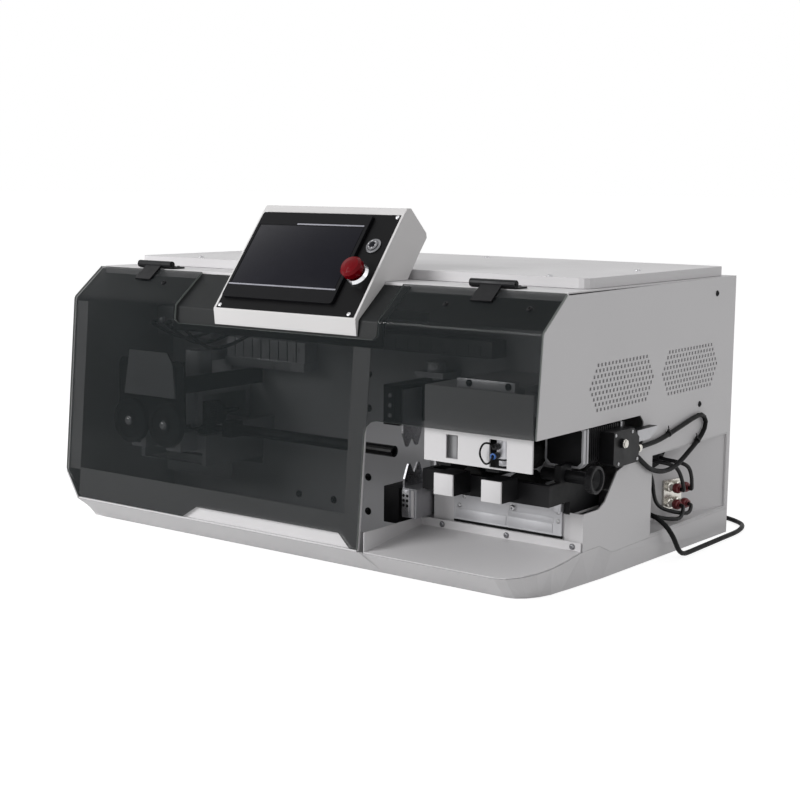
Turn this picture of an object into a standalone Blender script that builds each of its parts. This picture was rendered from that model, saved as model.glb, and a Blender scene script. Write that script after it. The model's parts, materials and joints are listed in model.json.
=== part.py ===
# Computer-controlled wire cutting and stripping machine, bench type.
#
# Design frame: X runs along the front from left to right and Y from the front to the back.
# Z is up from the table. Lengths are metres. Geometry is written with x = 0 half way along the
# body and y = 0 at the front edge of the floor; the empty called machine then moves
# everything so that the origin lies under the middle of the whole machine.
import math

import bmesh
import bpy
from mathutils import Matrix, Vector

# Fits and sheet metal
GAP = 0.0003
SHEET = 0.002
SHAFT_FIT = 0.0006

# Body
HALF_WIDTH = 0.425
BODY_BACK = 0.529
SEAM_Z = 0.038
BODY_TOP = 0.3955
LID_HEIGHT = 0.0142
LID_INSET = 0.012
LID_FRONT = 0.103
LID_CORNER = 0.014

# Leaning front, seen from the side
SLOPE_TOP_Y = 0.030
BEND_Y = -0.027
BEND_Z = BODY_TOP - 0.0455
BEND_RADIUS = 0.010
FRONT_LEAN = math.radians(5.05)
LIP_Z = SEAM_Z + 0.0007
FACET_TOP_Z = LIP_Z + 0.0403
FACET_X = -HALF_WIDTH + 0.029
FACET_BACK = -0.026

# Clear guard and its hinges
COVER_T = 0.004
COVER_BOTTOM = LIP_Z + 0.0031
COVER_REST = 0.002
WINDOW_X = HALF_WIDTH - 0.267
HINGE_WIDTH = 0.070
HINGE_KNUCKLE = 0.0055
HINGE_PIN = 0.0020
HINGE_X = HALF_WIDTH - 0.115
HINGE_Y = SLOPE_TOP_Y + HINGE_KNUCKLE + 0.002
HINGE_Z = BODY_TOP + HINGE_KNUCKLE + 0.001
LEAF_T = 0.0025
LEAF_REACH = 0.0265

# Console
CONSOLE_LEFT = -0.1255
CONSOLE_WALL = 0.003
PLATE_MARGIN = 0.004
PLATE_T = 0.003
SCREEN_SIZE = (0.204, 0.150)
SCREEN_SIDE = 0.008
SCREEN_BELOW = 0.019
SCREEN_ABOVE = 0.0062
SCREEN_LAP = 0.008
SCREEN_PROUD = 0.005
GLASS_MARGIN = (0.005, 0.0215)
GLASS_DEPTH = 0.0007
BUTTON_COLUMN = 0.048
ESTOP_HEAD = 0.0165
ESTOP_BARREL = 0.0112
ESTOP_STEM = 0.0082
COLLAR_TOP = 0.0075
ESTOP_TRAVEL = 0.004
BUTTON_RADIUS = 0.0082
BUTTON_BUSH = 0.0018
FACE_ANGLE = math.radians(51.95)
FACE_BOTTOM = (BEND_Y - 0.002, BEND_Z - 0.001)
FACE_LENGTH = SCREEN_SIZE[1] + SCREEN_BELOW + SCREEN_ABOVE
FACE_TOP = (
    FACE_BOTTOM[0] + FACE_LENGTH * math.cos(FACE_ANGLE),
    FACE_BOTTOM[1] + FACE_LENGTH * math.sin(FACE_ANGLE),
)
SCREEN_CENTRE = (CONSOLE_LEFT + SCREEN_SIDE + SCREEN_SIZE[0] / 2, SCREEN_BELOW + SCREEN_SIZE[1] / 2)
SCREEN_RIGHT = SCREEN_CENTRE[0] + SCREEN_SIZE[0] / 2
CONSOLE_RIGHT = SCREEN_RIGHT + BUTTON_COLUMN
ESTOP_AT = (SCREEN_RIGHT + 0.019, SCREEN_CENTRE[1] - 0.024)
BUTTON_AT = (SCREEN_RIGHT + 0.0215, SCREEN_CENTRE[1] + 0.025)

# Notch of the guard under the console
NECK_LEFT = CONSOLE_LEFT - 0.0795
NECK_RIGHT = CONSOLE_RIGHT + 0.0355
NECK_BOTTOM = BEND_Z - 0.027

# Tray
TRAY_LEFT = HALF_WIDTH - 0.260
TRAY_BACK = 0.085
TRAY_FRONT = -0.0495
TRAY_FRONT_Z = SEAM_Z - 0.001
TRAY_BACK_Z = SEAM_Z + 0.015
TRAY_WALL_TOP = TRAY_BACK_Z + 0.013
TRAY_T = 0.0015
TRAY_ROUND = 0.042

# Wire line and the two feed units
WIRE_Y = 0.080
WIRE_Z = 0.153
WIRE_BORE = 0.0045
GUIDE_RADIUS = 0.0083
NIP = 0.001
ROLLER_RADIUS = 0.0195
ROLLER_WIDTH = 0.036
ROLLER_PITCH = 0.075
SHAFT_RADIUS = 0.004
LIFT_TRAVEL = 0.010
MOTOR_SIZE = 0.057
MOTOR_X = HALF_WIDTH - 0.0055 - MOTOR_SIZE / 2
MOTOR_Z = WIRE_Z + 0.038
INFEED_X = MOTOR_X - MOTOR_SIZE / 2 - 0.0595
OUTFEED_X = -HALF_WIDTH + 0.150
PLATE_Y = WIRE_Y + 0.085
MOUNT_T = 0.008
MOUNT_LEFT = -HALF_WIDTH + 0.020
MOUNT_RIGHT = INFEED_X + 0.052
MOUNT_TOP = WIRE_Z + 0.177
CYLINDER_SIZE = 0.032
CYLINDER_BACK = 0.0125
ROD_RADIUS = 0.005
CONDUIT_HUB = 0.024
INLET_END = HALF_WIDTH + 0.023
INLET_RING = 0.0185
WINDOW_TOP = WIRE_Z + 0.0635

# Blades
BLADE_X = TRAY_LEFT - 0.015
BLADE_T = 0.003
BLADE_WIDTH = 0.044
BLADE_OPEN = 0.012
BLADE_V = 0.014
CARRIAGE_OFF = 0.043
SCREW_Y = WIRE_Y + 0.058
SCREW_RADIUS = 0.006

# Right-hand side
POCKET_BACK = BODY_BACK - 0.011
POCKET_FRONT = POCKET_BACK - 0.245
POCKET_BOTTOM = SEAM_Z + 0.003
POCKET_TOP = POCKET_BOTTOM + 0.116
POCKET_DEPTH = 0.055
VENT_PITCH_Y = 0.0096
VENT_PITCH_Z = 0.0074
VENT_ROWS = 9
VENT_COUNT = 19
VENT_HOLE = (0.0044, 0.0046)
VENT_Y = 0.1815
VENT_Z = WINDOW_TOP + 0.051

# Mains lead
CORD_RADIUS = 0.0036
COIL_RADIUS = 0.0396
COIL_AT = (0.300, 0.600)

TAN_LEAN = math.tan(FRONT_LEAN)
SLOT_CLEAR = 0.05
FLOOR_TOP = SHEET
INNER_HALF = HALF_WIDTH - SHEET
X_MIN = -HALF_WIDTH
X_MAX = INLET_END
Y_MIN = BEND_Y - (BEND_Z - LIP_Z) * TAN_LEAN
Y_MAX = BODY_BACK


def clear_scene():
    for obj in list(bpy.data.objects):
        bpy.data.objects.remove(obj, do_unlink=True)


def material(name, color, roughness, metallic=0.0, alpha=1.0):
    mat = bpy.data.materials.new(name)
    mat.use_nodes = True
    shader = mat.node_tree.nodes["Principled BSDF"]
    shader.inputs["Base Color"].default_value = (*color, 1.0)
    shader.inputs["Roughness"].default_value = roughness
    shader.inputs["Metallic"].default_value = metallic
    shader.inputs["Alpha"].default_value = alpha
    mat.diffuse_color = (*color, alpha)
    return mat


def pivot(name, at, parent=None, tilt=0.0):
    empty = bpy.data.objects.new(name, None)
    bpy.context.scene.collection.objects.link(empty)
    empty.location = at
    empty.rotation_euler = (tilt, 0.0, 0.0)
    empty.parent = parent
    return empty


def add_part(name, bm, mat, parent, smooth=False, guide=False):
    """Turn a bmesh drawn in the design frame into an object under its pivot."""
    bmesh.ops.remove_doubles(bm, verts=bm.verts, dist=1e-6)
    bmesh.ops.recalc_face_normals(bm, faces=bm.faces)
    mesh = bpy.data.meshes.new(name)
    bm.to_mesh(mesh)
    bm.free()
    if smooth:
        mesh.shade_smooth()
        mesh.set_sharp_from_angle(angle=math.radians(35))
    obj = bpy.data.objects.new(name, mesh)
    bpy.context.scene.collection.objects.link(obj)
    obj.parent = parent
    if parent is not None and parent.get("in_design_frame"):
        obj.location = -Vector(parent["design_location"])
    if mat is not None:
        mesh.materials.append(mat)
    if guide:
        obj.hide_render = True
        obj.display_type = "WIRE"
    return obj


def joint_pivot(name, at, parent):
    """A pivot on a joint axis; its parts stay drawn in the design frame."""
    base = Vector(parent["design_location"]) if parent.get("in_design_frame") else Vector()
    empty = pivot(name, Vector(at) - base, parent)
    empty["in_design_frame"] = True
    empty["design_location"] = Vector(at)
    return empty


AXES = {
    "xy": (Vector((1, 0, 0)), Vector((0, 1, 0)), Vector((0, 0, 1))),
    "xz": (Vector((1, 0, 0)), Vector((0, 0, 1)), Vector((0, 1, 0))),
    "yz": (Vector((0, 1, 0)), Vector((0, 0, 1)), Vector((1, 0, 0))),
}


def prism(bm, outline, low, high, plane="xy", holes=()):
    """Fill a flat outline with its holes and extrude it along the plane's normal."""
    across, up, normal = AXES[plane]
    edges = []
    for loop in (outline, *holes):
        verts = [bm.verts.new(across * a + up * b + normal * low) for a, b in loop]
        edges += [bm.edges.new((verts[i - 1], verts[i])) for i in range(len(verts))]
    filled = bmesh.ops.triangle_fill(bm, use_beauty=True, edges=edges)
    faces = [item for item in filled["geom"] if isinstance(item, bmesh.types.BMFace)]
    raised = bmesh.ops.extrude_face_region(bm, geom=faces, use_keep_orig=True)
    moved = [item for item in raised["geom"] if isinstance(item, bmesh.types.BMVert)]
    bmesh.ops.translate(bm, verts=moved, vec=normal * (high - low))


def block(bm, low, high):
    low = Vector(low)
    size = Vector(high) - low
    scale = Matrix.Diagonal((*size, 1.0))
    bmesh.ops.create_cube(bm, size=1.0, matrix=Matrix.Translation(low + size / 2) @ scale)


def turned(bm, profile, centre, axis, steps=16):
    """Spin a profile of (radius, distance along the axis) points round the axis."""
    axis = Vector(axis).normalized()
    side = axis.orthogonal().normalized()
    centre = Vector(centre)
    verts = [bm.verts.new(centre + side * r + axis * h) for r, h in profile]
    edges = [bm.edges.new((verts[i - 1], verts[i])) for i in range(1, len(verts))]
    if profile[0][0] > 0:
        edges.append(bm.edges.new((verts[-1], verts[0])))
    bmesh.ops.spin(
        bm, geom=verts + edges, cent=centre, axis=axis, dvec=(0, 0, 0),
        angle=math.tau, steps=steps, use_merge=True,
    )


def rod(bm, centre, axis, length, radius, steps=12):
    turned(bm, [(0, 0), (radius, 0), (radius, length), (0, length)], centre, axis, steps)


def tube(bm, centre, axis, length, radius, bore, steps=16):
    turned(bm, [(bore, 0), (radius, 0), (radius, length), (bore, length)], centre, axis, steps)


def circle(a, b, radius, steps=12):
    angles = [math.tau * i / steps for i in range(steps)]
    return [(a + radius * math.cos(t), b + radius * math.sin(t)) for t in angles]


def rectangle(a0, b0, a1, b1):
    return [(a0, b0), (a1, b0), (a1, b1), (a0, b1)]


def rounded(points, radius, steps=3, closed=True):
    """Replace each corner of a polyline with an arc of the given radius."""
    result = []
    count = len(points)
    for i, point in enumerate(points):
        if not closed and i in (0, count - 1):
            result.append(point)
            continue
        here = Vector(point)
        back = (Vector(points[i - 1]) - here).normalized()
        on = (Vector(points[(i + 1) % count]) - here).normalized()
        half = back.angle(on) / 2
        reach = radius / math.tan(half)
        centre = here + (back + on).normalized() * (radius / math.sin(half))
        start = here + back * reach - centre
        stop = here + on * reach - centre
        sweep = start.angle_signed(stop)
        for k in range(steps + 1):
            turn = Matrix.Rotation(-sweep * k / steps, 2)
            result.append(tuple(centre + turn @ start))
    return result


def offset_path(points, distance):
    """Shift an open polyline to the right of its direction, with mitred corners."""
    result = []
    for i, point in enumerate(points):
        sides = []
        if i > 0:
            run = (Vector(point) - Vector(points[i - 1])).normalized()
            sides.append(Vector((run.y, -run.x)))
        if i < len(points) - 1:
            run = (Vector(points[i + 1]) - Vector(point)).normalized()
            sides.append(Vector((run.y, -run.x)))
        mid = sum(sides, Vector((0, 0))).normalized()
        result.append(tuple(Vector(point) + mid * (distance / mid.dot(sides[0]))))
    return result


def sheet(path, depth, thickness):
    """Closed outline of a bent sheet that lies depth to depth + thickness inside a path."""
    outer = offset_path(path, depth)
    inner = offset_path(path, depth + thickness)
    return outer + inner[::-1]


def boolean(obj, other, operation="DIFFERENCE"):
    modifier = obj.modifiers.new(operation.lower(), "BOOLEAN")
    modifier.operation = operation
    modifier.object = other
    return obj


def front_y(z):
    """Outer face of the guard's front sheet at a height."""
    return BEND_Y - (BEND_Z - z) * TAN_LEAN


def front_path(bottom):
    corners = [(front_y(bottom), bottom), (BEND_Y, BEND_Z), (SLOPE_TOP_Y, BODY_TOP)]
    return rounded(corners, BEND_RADIUS, steps=3, closed=False)


def tray_z(y):
    share = (y - TRAY_FRONT) / (TRAY_BACK - TRAY_FRONT)
    return TRAY_FRONT_Z + (TRAY_BACK_Z - TRAY_FRONT_Z) * share


def corner_arc(centre, radii, steps):
    """Quarter ellipse from the front round to the right-hand side."""
    points = []
    for k in range(steps + 1):
        t = math.radians(-90 + 90 * k / steps)
        points.append((centre[0] + radii[0] * math.cos(t), centre[1] + radii[1] * math.sin(t)))
    return points


KINK_START = TRAY_BACK + 0.045
KINK_END = KINK_START + 0.035
RIM_LEFT = TRAY_LEFT - 0.002
TRAY_CORNER = corner_arc(
    (HALF_WIDTH - 0.050, TRAY_ROUND), (0.050, TRAY_ROUND - TRAY_FRONT), 5
)
FLOOR_CORNER = corner_arc((HALF_WIDTH - 0.064, 0.070), (TRAY_ROUND, 0.070), 5)


def base_pan(machine, white):
    """Floor and low skirt in one shell: undercut front, round right corner, faceted left."""
    rim = [(TRAY_LEFT, TRAY_FRONT, TRAY_FRONT_Z)]
    floor = [(TRAY_LEFT, 0.0)]
    for top, low in zip(TRAY_CORNER, FLOOR_CORNER):
        rim.append((*top, tray_z(top[1])))
        floor.append(low)
    side = ((TRAY_BACK, TRAY_BACK_Z, 0.020), (KINK_START, TRAY_BACK_Z, 0.016), (KINK_END, SEAM_Z, 0.013))
    for y, z, tuck in side:
        rim.append((HALF_WIDTH, y, z))
        floor.append((HALF_WIDTH - tuck, y))
    for x in (HALF_WIDTH, -HALF_WIDTH):
        rim.append((x, BODY_BACK, SEAM_Z))
        floor.append((x, BODY_BACK))
    rim.append((-HALF_WIDTH, FACET_BACK, SEAM_Z))
    floor.append((-HALF_WIDTH + 0.006, 0.020))
    rim.append((-HALF_WIDTH, front_y(FACET_TOP_Z), FACET_TOP_Z))
    floor.append((-HALF_WIDTH + 0.008, 0.001))
    rim.append((FACET_X, front_y(LIP_Z), LIP_Z))
    floor.append((FACET_X, 0.0))
    rim.append((RIM_LEFT, front_y(LIP_Z), LIP_Z))
    floor.append((RIM_LEFT, 0.0))
    bm = bmesh.new()
    top_verts = [bm.verts.new(point) for point in rim]
    low_verts = [bm.verts.new((x, y, 0.0)) for x, y in floor]
    for i in range(len(rim)):
        bm.faces.new((low_verts[i - 1], low_verts[i], top_verts[i], top_verts[i - 1]))
    bm.faces.new(low_verts[::-1])
    obj = add_part("base_pan", bm, white, machine)
    wall = obj.modifiers.new("sheet", "SOLIDIFY")
    wall.thickness = SHEET
    wall.offset = -1
    wall.use_even_offset = True
    start = TRAY_FRONT - SLOT_CLEAR
    stop = BODY_BACK + SLOT_CLEAR
    high = SEAM_Z + 3 * SLOT_CLEAR
    right = TRAY_LEFT - 0.001
    rim = [(start, tray_z(start)), (TRAY_BACK, TRAY_BACK_Z), (KINK_START, TRAY_BACK_Z), (KINK_END, SEAM_Z)]
    rim += [(stop, SEAM_Z), (stop, high), (start, high)]
    bm = bmesh.new()
    prism(bm, rim, TRAY_LEFT - 0.0005, HALF_WIDTH + SLOT_CLEAR, "yz")
    block(bm, (FACET_X, start, LIP_Z), (right, FACET_BACK - 0.004, high))
    edge = -HALF_WIDTH + 0.025
    block(bm, (-HALF_WIDTH - SLOT_CLEAR, FACET_BACK + 0.0005, SEAM_Z), (edge, stop, high))
    block(bm, (edge + 0.001, BODY_BACK - 0.029, SEAM_Z), (right, stop, high))
    return boolean(obj, add_part("cutter_rim", bm, None, machine, guide=True))


def side_front(bottom):
    """Front edge of a side panel, just behind the guard."""
    return offset_path(front_path(bottom), COVER_T + COVER_REST / 4)


def left_side_panel(machine, white):
    edge = side_front(FACET_TOP_Z + GAP)
    outline = [(FACET_BACK + 0.0025, SEAM_Z + GAP), (BODY_BACK, SEAM_Z + GAP), (BODY_BACK, BODY_TOP)]
    outline += edge[::-1]
    bm = bmesh.new()
    exit_hole = circle(WIRE_Y, WIRE_Z, GUIDE_RADIUS + SHAFT_FIT, 16)
    prism(bm, outline, -HALF_WIDTH, -INNER_HALF, "yz", [exit_hole])
    panel = add_part("left_side_panel", bm, white, machine)
    bm = bmesh.new()
    low = FACET_TOP_Z + 0.004
    high = BEND_Z - 0.006
    strip = sheet([(front_y(low), low), (front_y(high), high)], COVER_T + COVER_REST, SHEET)
    prism(bm, strip, -HALF_WIDTH + SHEET / 2, -HALF_WIDTH + 0.026, "yz")
    flange = add_part("guide_left_flange", bm, None, machine, guide=True)
    return boolean(panel, flange, "UNION")


def vent_holes(centre_y, centre_z, widest):
    """Staggered small slots that fill a hexagon of the given number of holes across."""
    holes = []
    half_rows = VENT_ROWS // 2
    for row in range(-half_rows, half_rows + 1):
        count = widest - abs(row)
        for k in range(count):
            y = centre_y + (k - (count - 1) / 2) * VENT_PITCH_Y
            z = centre_z + row * VENT_PITCH_Z
            a = VENT_HOLE[0] / 2
            b = VENT_HOLE[1] / 2
            holes.append([(y - a, z - b), (y + a, z - b), (y + a, z + b), (y - a, z + b)])
    return holes


NOTCH_LOW = WIRE_Z - 0.0495


def side_notch():
    """Edge of the wire inlet opening, from its top rear corner round to its low front end."""
    offsets = [(0.165, 0.054), (0.165, 0.025), (0.156, 0.014), (0.123, 0.003), (0.094, -0.005)]
    offsets += [(0.077, -0.025), (0.063, -0.041), (0.046, NOTCH_LOW - WIRE_Z)]
    points = [(WIRE_Y + y, WIRE_Z + z) for y, z in offsets]
    return [(WIRE_Y + 0.155, WINDOW_TOP + GAP)] + points


def right_side_panel(machine, white):
    edge = side_front(WINDOW_TOP + GAP)
    rim = TRAY_BACK_Z + GAP
    front = TRAY_BACK + GAP
    outline = [(KINK_END, SEAM_Z + GAP), (BODY_BACK, SEAM_Z + GAP), (BODY_BACK, BODY_TOP)]
    outline += edge[::-1] + side_notch() + [(front, NOTCH_LOW), (front, rim), (KINK_START, rim)]
    holes = [rectangle(POCKET_FRONT, POCKET_BOTTOM, POCKET_BACK, POCKET_TOP)]
    for centre in (VENT_Y, VENT_Y + VENT_COUNT * VENT_PITCH_Y + 0.0201):
        holes += vent_holes(centre, VENT_Z, VENT_COUNT)
    bm = bmesh.new()
    prism(bm, outline, INNER_HALF, HALF_WIDTH, "yz", holes)
    panel = add_part("right_side_panel", bm, white, machine)
    bm = bmesh.new()
    low = (HALF_WIDTH - 0.0205, front, rim + 0.001)
    block(bm, low, (HALF_WIDTH - SHEET / 2, front + SHEET, NOTCH_LOW - 0.0005))
    flange = add_part("guide_right_flange", bm, None, machine, guide=True)
    return boolean(panel, flange, "UNION")


REAR_SLOTS = 8
REAR_PITCH = 0.014
REAR_SLOT_WIDTH = 0.006
REAR_SLOT_Z = (0.23, 0.30)


def rear_panel(machine, white):
    bm = bmesh.new()
    slots = []
    for centre in (0.225 - HALF_WIDTH, HALF_WIDTH - 0.225):
        for k in range(REAR_SLOTS):
            x = centre + (k - (REAR_SLOTS - 1) / 2) * REAR_PITCH
            half = REAR_SLOT_WIDTH / 2
            slots.append(rectangle(x - half, REAR_SLOT_Z[0], x + half, REAR_SLOT_Z[1]))
    outline = rectangle(-INNER_HALF + GAP, SEAM_Z + GAP, INNER_HALF - GAP, BODY_TOP)
    prism(bm, outline, BODY_BACK - SHEET, BODY_BACK, "xz", slots)
    return add_part("rear_panel", bm, white, machine)


def top_panel(machine, white):
    front = HINGE_Y - 0.001
    back = BODY_BACK - SHEET - GAP
    under = BODY_TOP - SHEET
    flange = BODY_TOP - 0.0115
    outline = [(front, flange), (front, BODY_TOP), (back, BODY_TOP), (back, under)]
    outline += [(front + SHEET, under), (front + SHEET, flange)]
    bm = bmesh.new()
    prism(bm, outline, -INNER_HALF + GAP, INNER_HALF - GAP, "yz")
    return add_part("top_panel", bm, white, machine)


def top_lid(machine, white):
    half = HALF_WIDTH - LID_INSET
    corners = rectangle(-half, LID_FRONT, half, BODY_BACK - LID_INSET - 0.004)
    outline = rounded(corners, LID_CORNER, 3)
    bm = bmesh.new()
    verts = [bm.verts.new((x, y, BODY_TOP + LID_HEIGHT)) for x, y in outline]
    top = bm.faces.new(verts)
    bmesh.ops.inset_region(bm, faces=[top], thickness=0.003, depth=0.0, use_boundary=True)
    rims = [edge for edge in bm.edges if edge.is_boundary]
    for vert in {vert for edge in rims for vert in edge.verts}:
        vert.co.z -= 0.002
    walls = bmesh.ops.extrude_edge_only(bm, edges=rims)
    for item in walls["geom"]:
        if isinstance(item, bmesh.types.BMVert):
            item.co.z = BODY_TOP + GAP
    obj = add_part("top_lid", bm, white, machine)
    wall = obj.modifiers.new("sheet", "SOLIDIFY")
    wall.thickness = SHEET * 0.75
    wall.offset = -1
    wall.use_even_offset = True
    return obj


def leaning_plate(bm, outline, depth, thickness):
    """A flat plate parallel to the leaning front, drawn from the front."""
    before = set(bm.verts)
    prism(bm, outline, depth, depth + thickness, "xz")
    for vert in bm.verts:
        if vert not in before:
            vert.co.y += front_y(vert.co.z)


def front_frame(machine, white):
    """Low rail behind the guard with the lip it stands on, and the post at the window."""
    depth = COVER_T + COVER_REST
    right = WINDOW_X - 0.0005
    left = -HALF_WIDTH + 0.0263
    rail_top = LIP_Z + 0.0468
    post = WINDOW_X - 0.0295
    top = NECK_BOTTOM - 0.0120
    low = LIP_Z + 0.0018
    outline = [(FACET_X + 0.004, low), (right, low), (right, top), (post, top), (post, rail_top)]
    outline += [(left, rail_top), (left, low + 0.0045)]
    bm = bmesh.new()
    leaning_plate(bm, outline, depth, SHEET)
    frame = add_part("front_frame", bm, white, machine)
    low = LIP_Z + GAP
    lip = front_y(LIP_Z)
    bm = bmesh.new()
    block(bm, (FACET_X + 0.002, lip + 0.0005, low), (right + 0.0002, lip + 0.0075, low + 0.0022))
    return boolean(frame, add_part("guide_frame_lip", bm, None, machine, guide=True), "UNION")


def neck_panel(machine, dark):
    """Fixed dark sheet that closes the guard's notch under the console."""
    path = offset_path(front_path(NECK_BOTTOM - 0.0105), COVER_T + COVER_REST)
    slope = (path[-1][1] - path[-2][1]) / (path[-1][0] - path[-2][0])
    end_y = HINGE_Y - 0.0025
    end = (end_y, path[-1][1] + (end_y - path[-1][0]) * slope)
    path = path[:-1] + [end]
    bm = bmesh.new()
    prism(bm, sheet(path, 0.0, SHEET), NECK_LEFT - 0.008, NECK_RIGHT + 0.008, "yz")
    return add_part("neck_panel", bm, dark, machine)


def product_tray(machine, white):
    """Sloping tray floor on the skirt, with its left wall and low rear wall."""
    inset = 0.0006
    points = [(TRAY_LEFT + 0.001, TRAY_FRONT + inset)]
    points += [(x - inset, y + inset) for x, y in TRAY_CORNER]
    points += [(HALF_WIDTH - inset, TRAY_BACK - TRAY_T - GAP), (TRAY_LEFT + 0.001, TRAY_BACK - TRAY_T - GAP)]
    bm = bmesh.new()
    verts = [bm.verts.new((x, y, tray_z(y) + GAP)) for x, y in points]
    bm.faces.new(verts)
    left = bm.edges.get((verts[-1], verts[0]))
    back = bm.edges.get((verts[-2], verts[-1]))
    walls = bmesh.ops.extrude_edge_only(bm, edges=[left, back])
    for item in walls["geom"]:
        if isinstance(item, bmesh.types.BMVert):
            item.co.z = TRAY_WALL_TOP
    obj = add_part("product_tray", bm, white, machine)
    wall = obj.modifiers.new("sheet", "SOLIDIFY")
    wall.thickness = TRAY_T
    wall.offset = -1
    wall.use_even_offset = True
    return obj


def front_cover(cover_axis, smoked):
    """Bent clear guard: profile extruded across the machine, trimmed to its front outline."""
    bm = bmesh.new()
    prism(bm, sheet(front_path(COVER_BOTTOM - 0.002), 0.0, COVER_T), -HALF_WIDTH, HALF_WIDTH, "yz")
    cover = add_part("front_cover", bm, smoked, cover_axis)
    high = BODY_TOP + 0.02
    over = HALF_WIDTH + 0.01
    left = [(-over, high), (-over, FACET_TOP_Z + 0.0165), (-HALF_WIDTH, FACET_TOP_Z + 0.003)]
    left += [(FACET_X + 0.002, COVER_BOTTOM)]
    hold = COVER_BOTTOM + 0.0172
    rail = [(FACET_X + 0.227, COVER_BOTTOM), (FACET_X + 0.254, hold)]
    rail += [(WINDOW_X - 0.033, hold + 0.001), (WINDOW_X - 0.013, COVER_BOTTOM)]
    window = [(WINDOW_X, COVER_BOTTOM), (WINDOW_X, WINDOW_TOP - 0.0205)]
    window += [(WINDOW_X + 0.0025, WINDOW_TOP - 0.0095), (WINDOW_X + 0.010, WINDOW_TOP - 0.0025)]
    window += [(WINDOW_X + 0.020, WINDOW_TOP)]
    right = [(over, WINDOW_TOP + 0.0005), (over, high)]
    neck = [(NECK_RIGHT, high), (NECK_RIGHT, NECK_BOTTOM + 0.006), (NECK_RIGHT - 0.006, NECK_BOTTOM)]
    neck += [(NECK_LEFT + 0.006, NECK_BOTTOM), (NECK_LEFT, NECK_BOTTOM + 0.006), (NECK_LEFT, high)]
    bm = bmesh.new()
    start = front_y(COVER_BOTTOM) - SLOT_CLEAR
    prism(bm, left + rail + window + right + neck, start, SLOPE_TOP_Y + SLOT_CLEAR, "xz")
    outline = add_part("guide_cover_outline", bm, None, cover_axis, guide=True)
    return boolean(cover, outline, "INTERSECT")


def knuckle_section(sign):
    """Leaf and knuckle drawn from the side: sign -1 lies on the guard, +1 on the top."""
    ring = circle(HINGE_Y, HINGE_Z, HINGE_KNUCKLE, 12)
    if sign > 0:
        base = BODY_TOP + GAP
        return ring, rectangle(HINGE_Y, base, HINGE_Y + LEAF_REACH, base + LEAF_T)
    run = Vector((BEND_Y - SLOPE_TOP_Y, BEND_Z - BODY_TOP)).normalized()
    out = Vector((run.y, -run.x))
    start = Vector((SLOPE_TOP_Y, BODY_TOP)) - run * 0.0065
    stop = Vector((SLOPE_TOP_Y, BODY_TOP)) + run * (LEAF_REACH - 0.0005)
    low = out * GAP
    high = out * (GAP + LEAF_T)
    return ring, [tuple(point) for point in (start + low, stop + low, stop + high, start + high)]


def hinge_half(name, centre, spans, sign, mat, parent):
    """One leaf of a butt hinge with its knuckles."""
    bm = bmesh.new()
    bm_leaf = bmesh.new()
    ring, leaf = knuckle_section(sign)
    for low, high in spans:
        prism(bm, ring, centre + low, centre + high, "yz")
    prism(bm_leaf, leaf, centre + spans[0][0], centre + spans[-1][1], "yz")
    obj = add_part(name, bm, mat, parent)
    boolean(obj, add_part("guide_" + name, bm_leaf, None, parent, guide=True), "UNION")
    return obj


def hinge_rod(name, centre, reach, radius, parent):
    bm = bmesh.new()
    rod(bm, (centre - reach, HINGE_Y, HINGE_Z), (1, 0, 0), 2 * reach, radius, 10)
    return add_part(name, bm, None, parent, guide=True)


def hinge(side, centre, machine, cover_axis, black):
    """Butt hinge: the fixed leaf holds the pin that the guard's leaf turns on."""
    half = HINGE_WIDTH / 2
    inner = 0.016
    spans = [(-half, -inner - GAP), (inner + GAP, half)]
    fixed = hinge_half("hinge_fixed_leaf_" + side, centre, spans, 1, black, machine)
    bm = bmesh.new()
    start = HINGE_Y + HINGE_KNUCKLE + 2 * GAP
    low = (centre - inner - GAP, HINGE_Y - 0.02, HINGE_Z - 0.02)
    block(bm, low, (centre + inner + GAP, start, HINGE_Z + 0.02))
    boolean(fixed, add_part("cutter_leaf_" + side, bm, None, machine, guide=True))
    boolean(fixed, hinge_rod("guide_pin_" + side, centre, half + 0.001, HINGE_PIN, machine), "UNION")
    moving = hinge_half("hinge_moving_leaf_" + side, centre, [(-inner, inner)], -1, black, cover_axis)
    boolean(moving, hinge_rod("cutter_bore_" + side, centre, half, HINGE_PIN + SHAFT_FIT, cover_axis))


FACE_EDGE = 0.002


def console_outline():
    """Side view of the console: lip, face, rounded crown, back, and the seat on the neck."""
    chin = BEND_Z - 0.024
    seat = offset_path(front_path(chin), COVER_T + COVER_REST - GAP)
    slope = (seat[-1][1] - seat[-2][1]) / (seat[-1][0] - seat[-2][0])
    deck = BODY_TOP + GAP
    step = HINGE_Y - 0.001 - GAP
    heel = (step, seat[-1][1] + (step - seat[-1][0]) * slope)
    y, z = FACE_TOP
    crown = [(y + 0.0075, z + 0.0075), (y + 0.0155, z + 0.0075)]
    back = [(y + 0.0520, z - 0.0270), (y + 0.0535, z - 0.0340), (y + 0.0370, z - 0.0540), (y + 0.009, deck)]
    front = [(BEND_Y + 0.0005, chin), FACE_BOTTOM, FACE_TOP]
    return front + crown + back + [(step, deck), heel] + seat[:-1][::-1]


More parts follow.
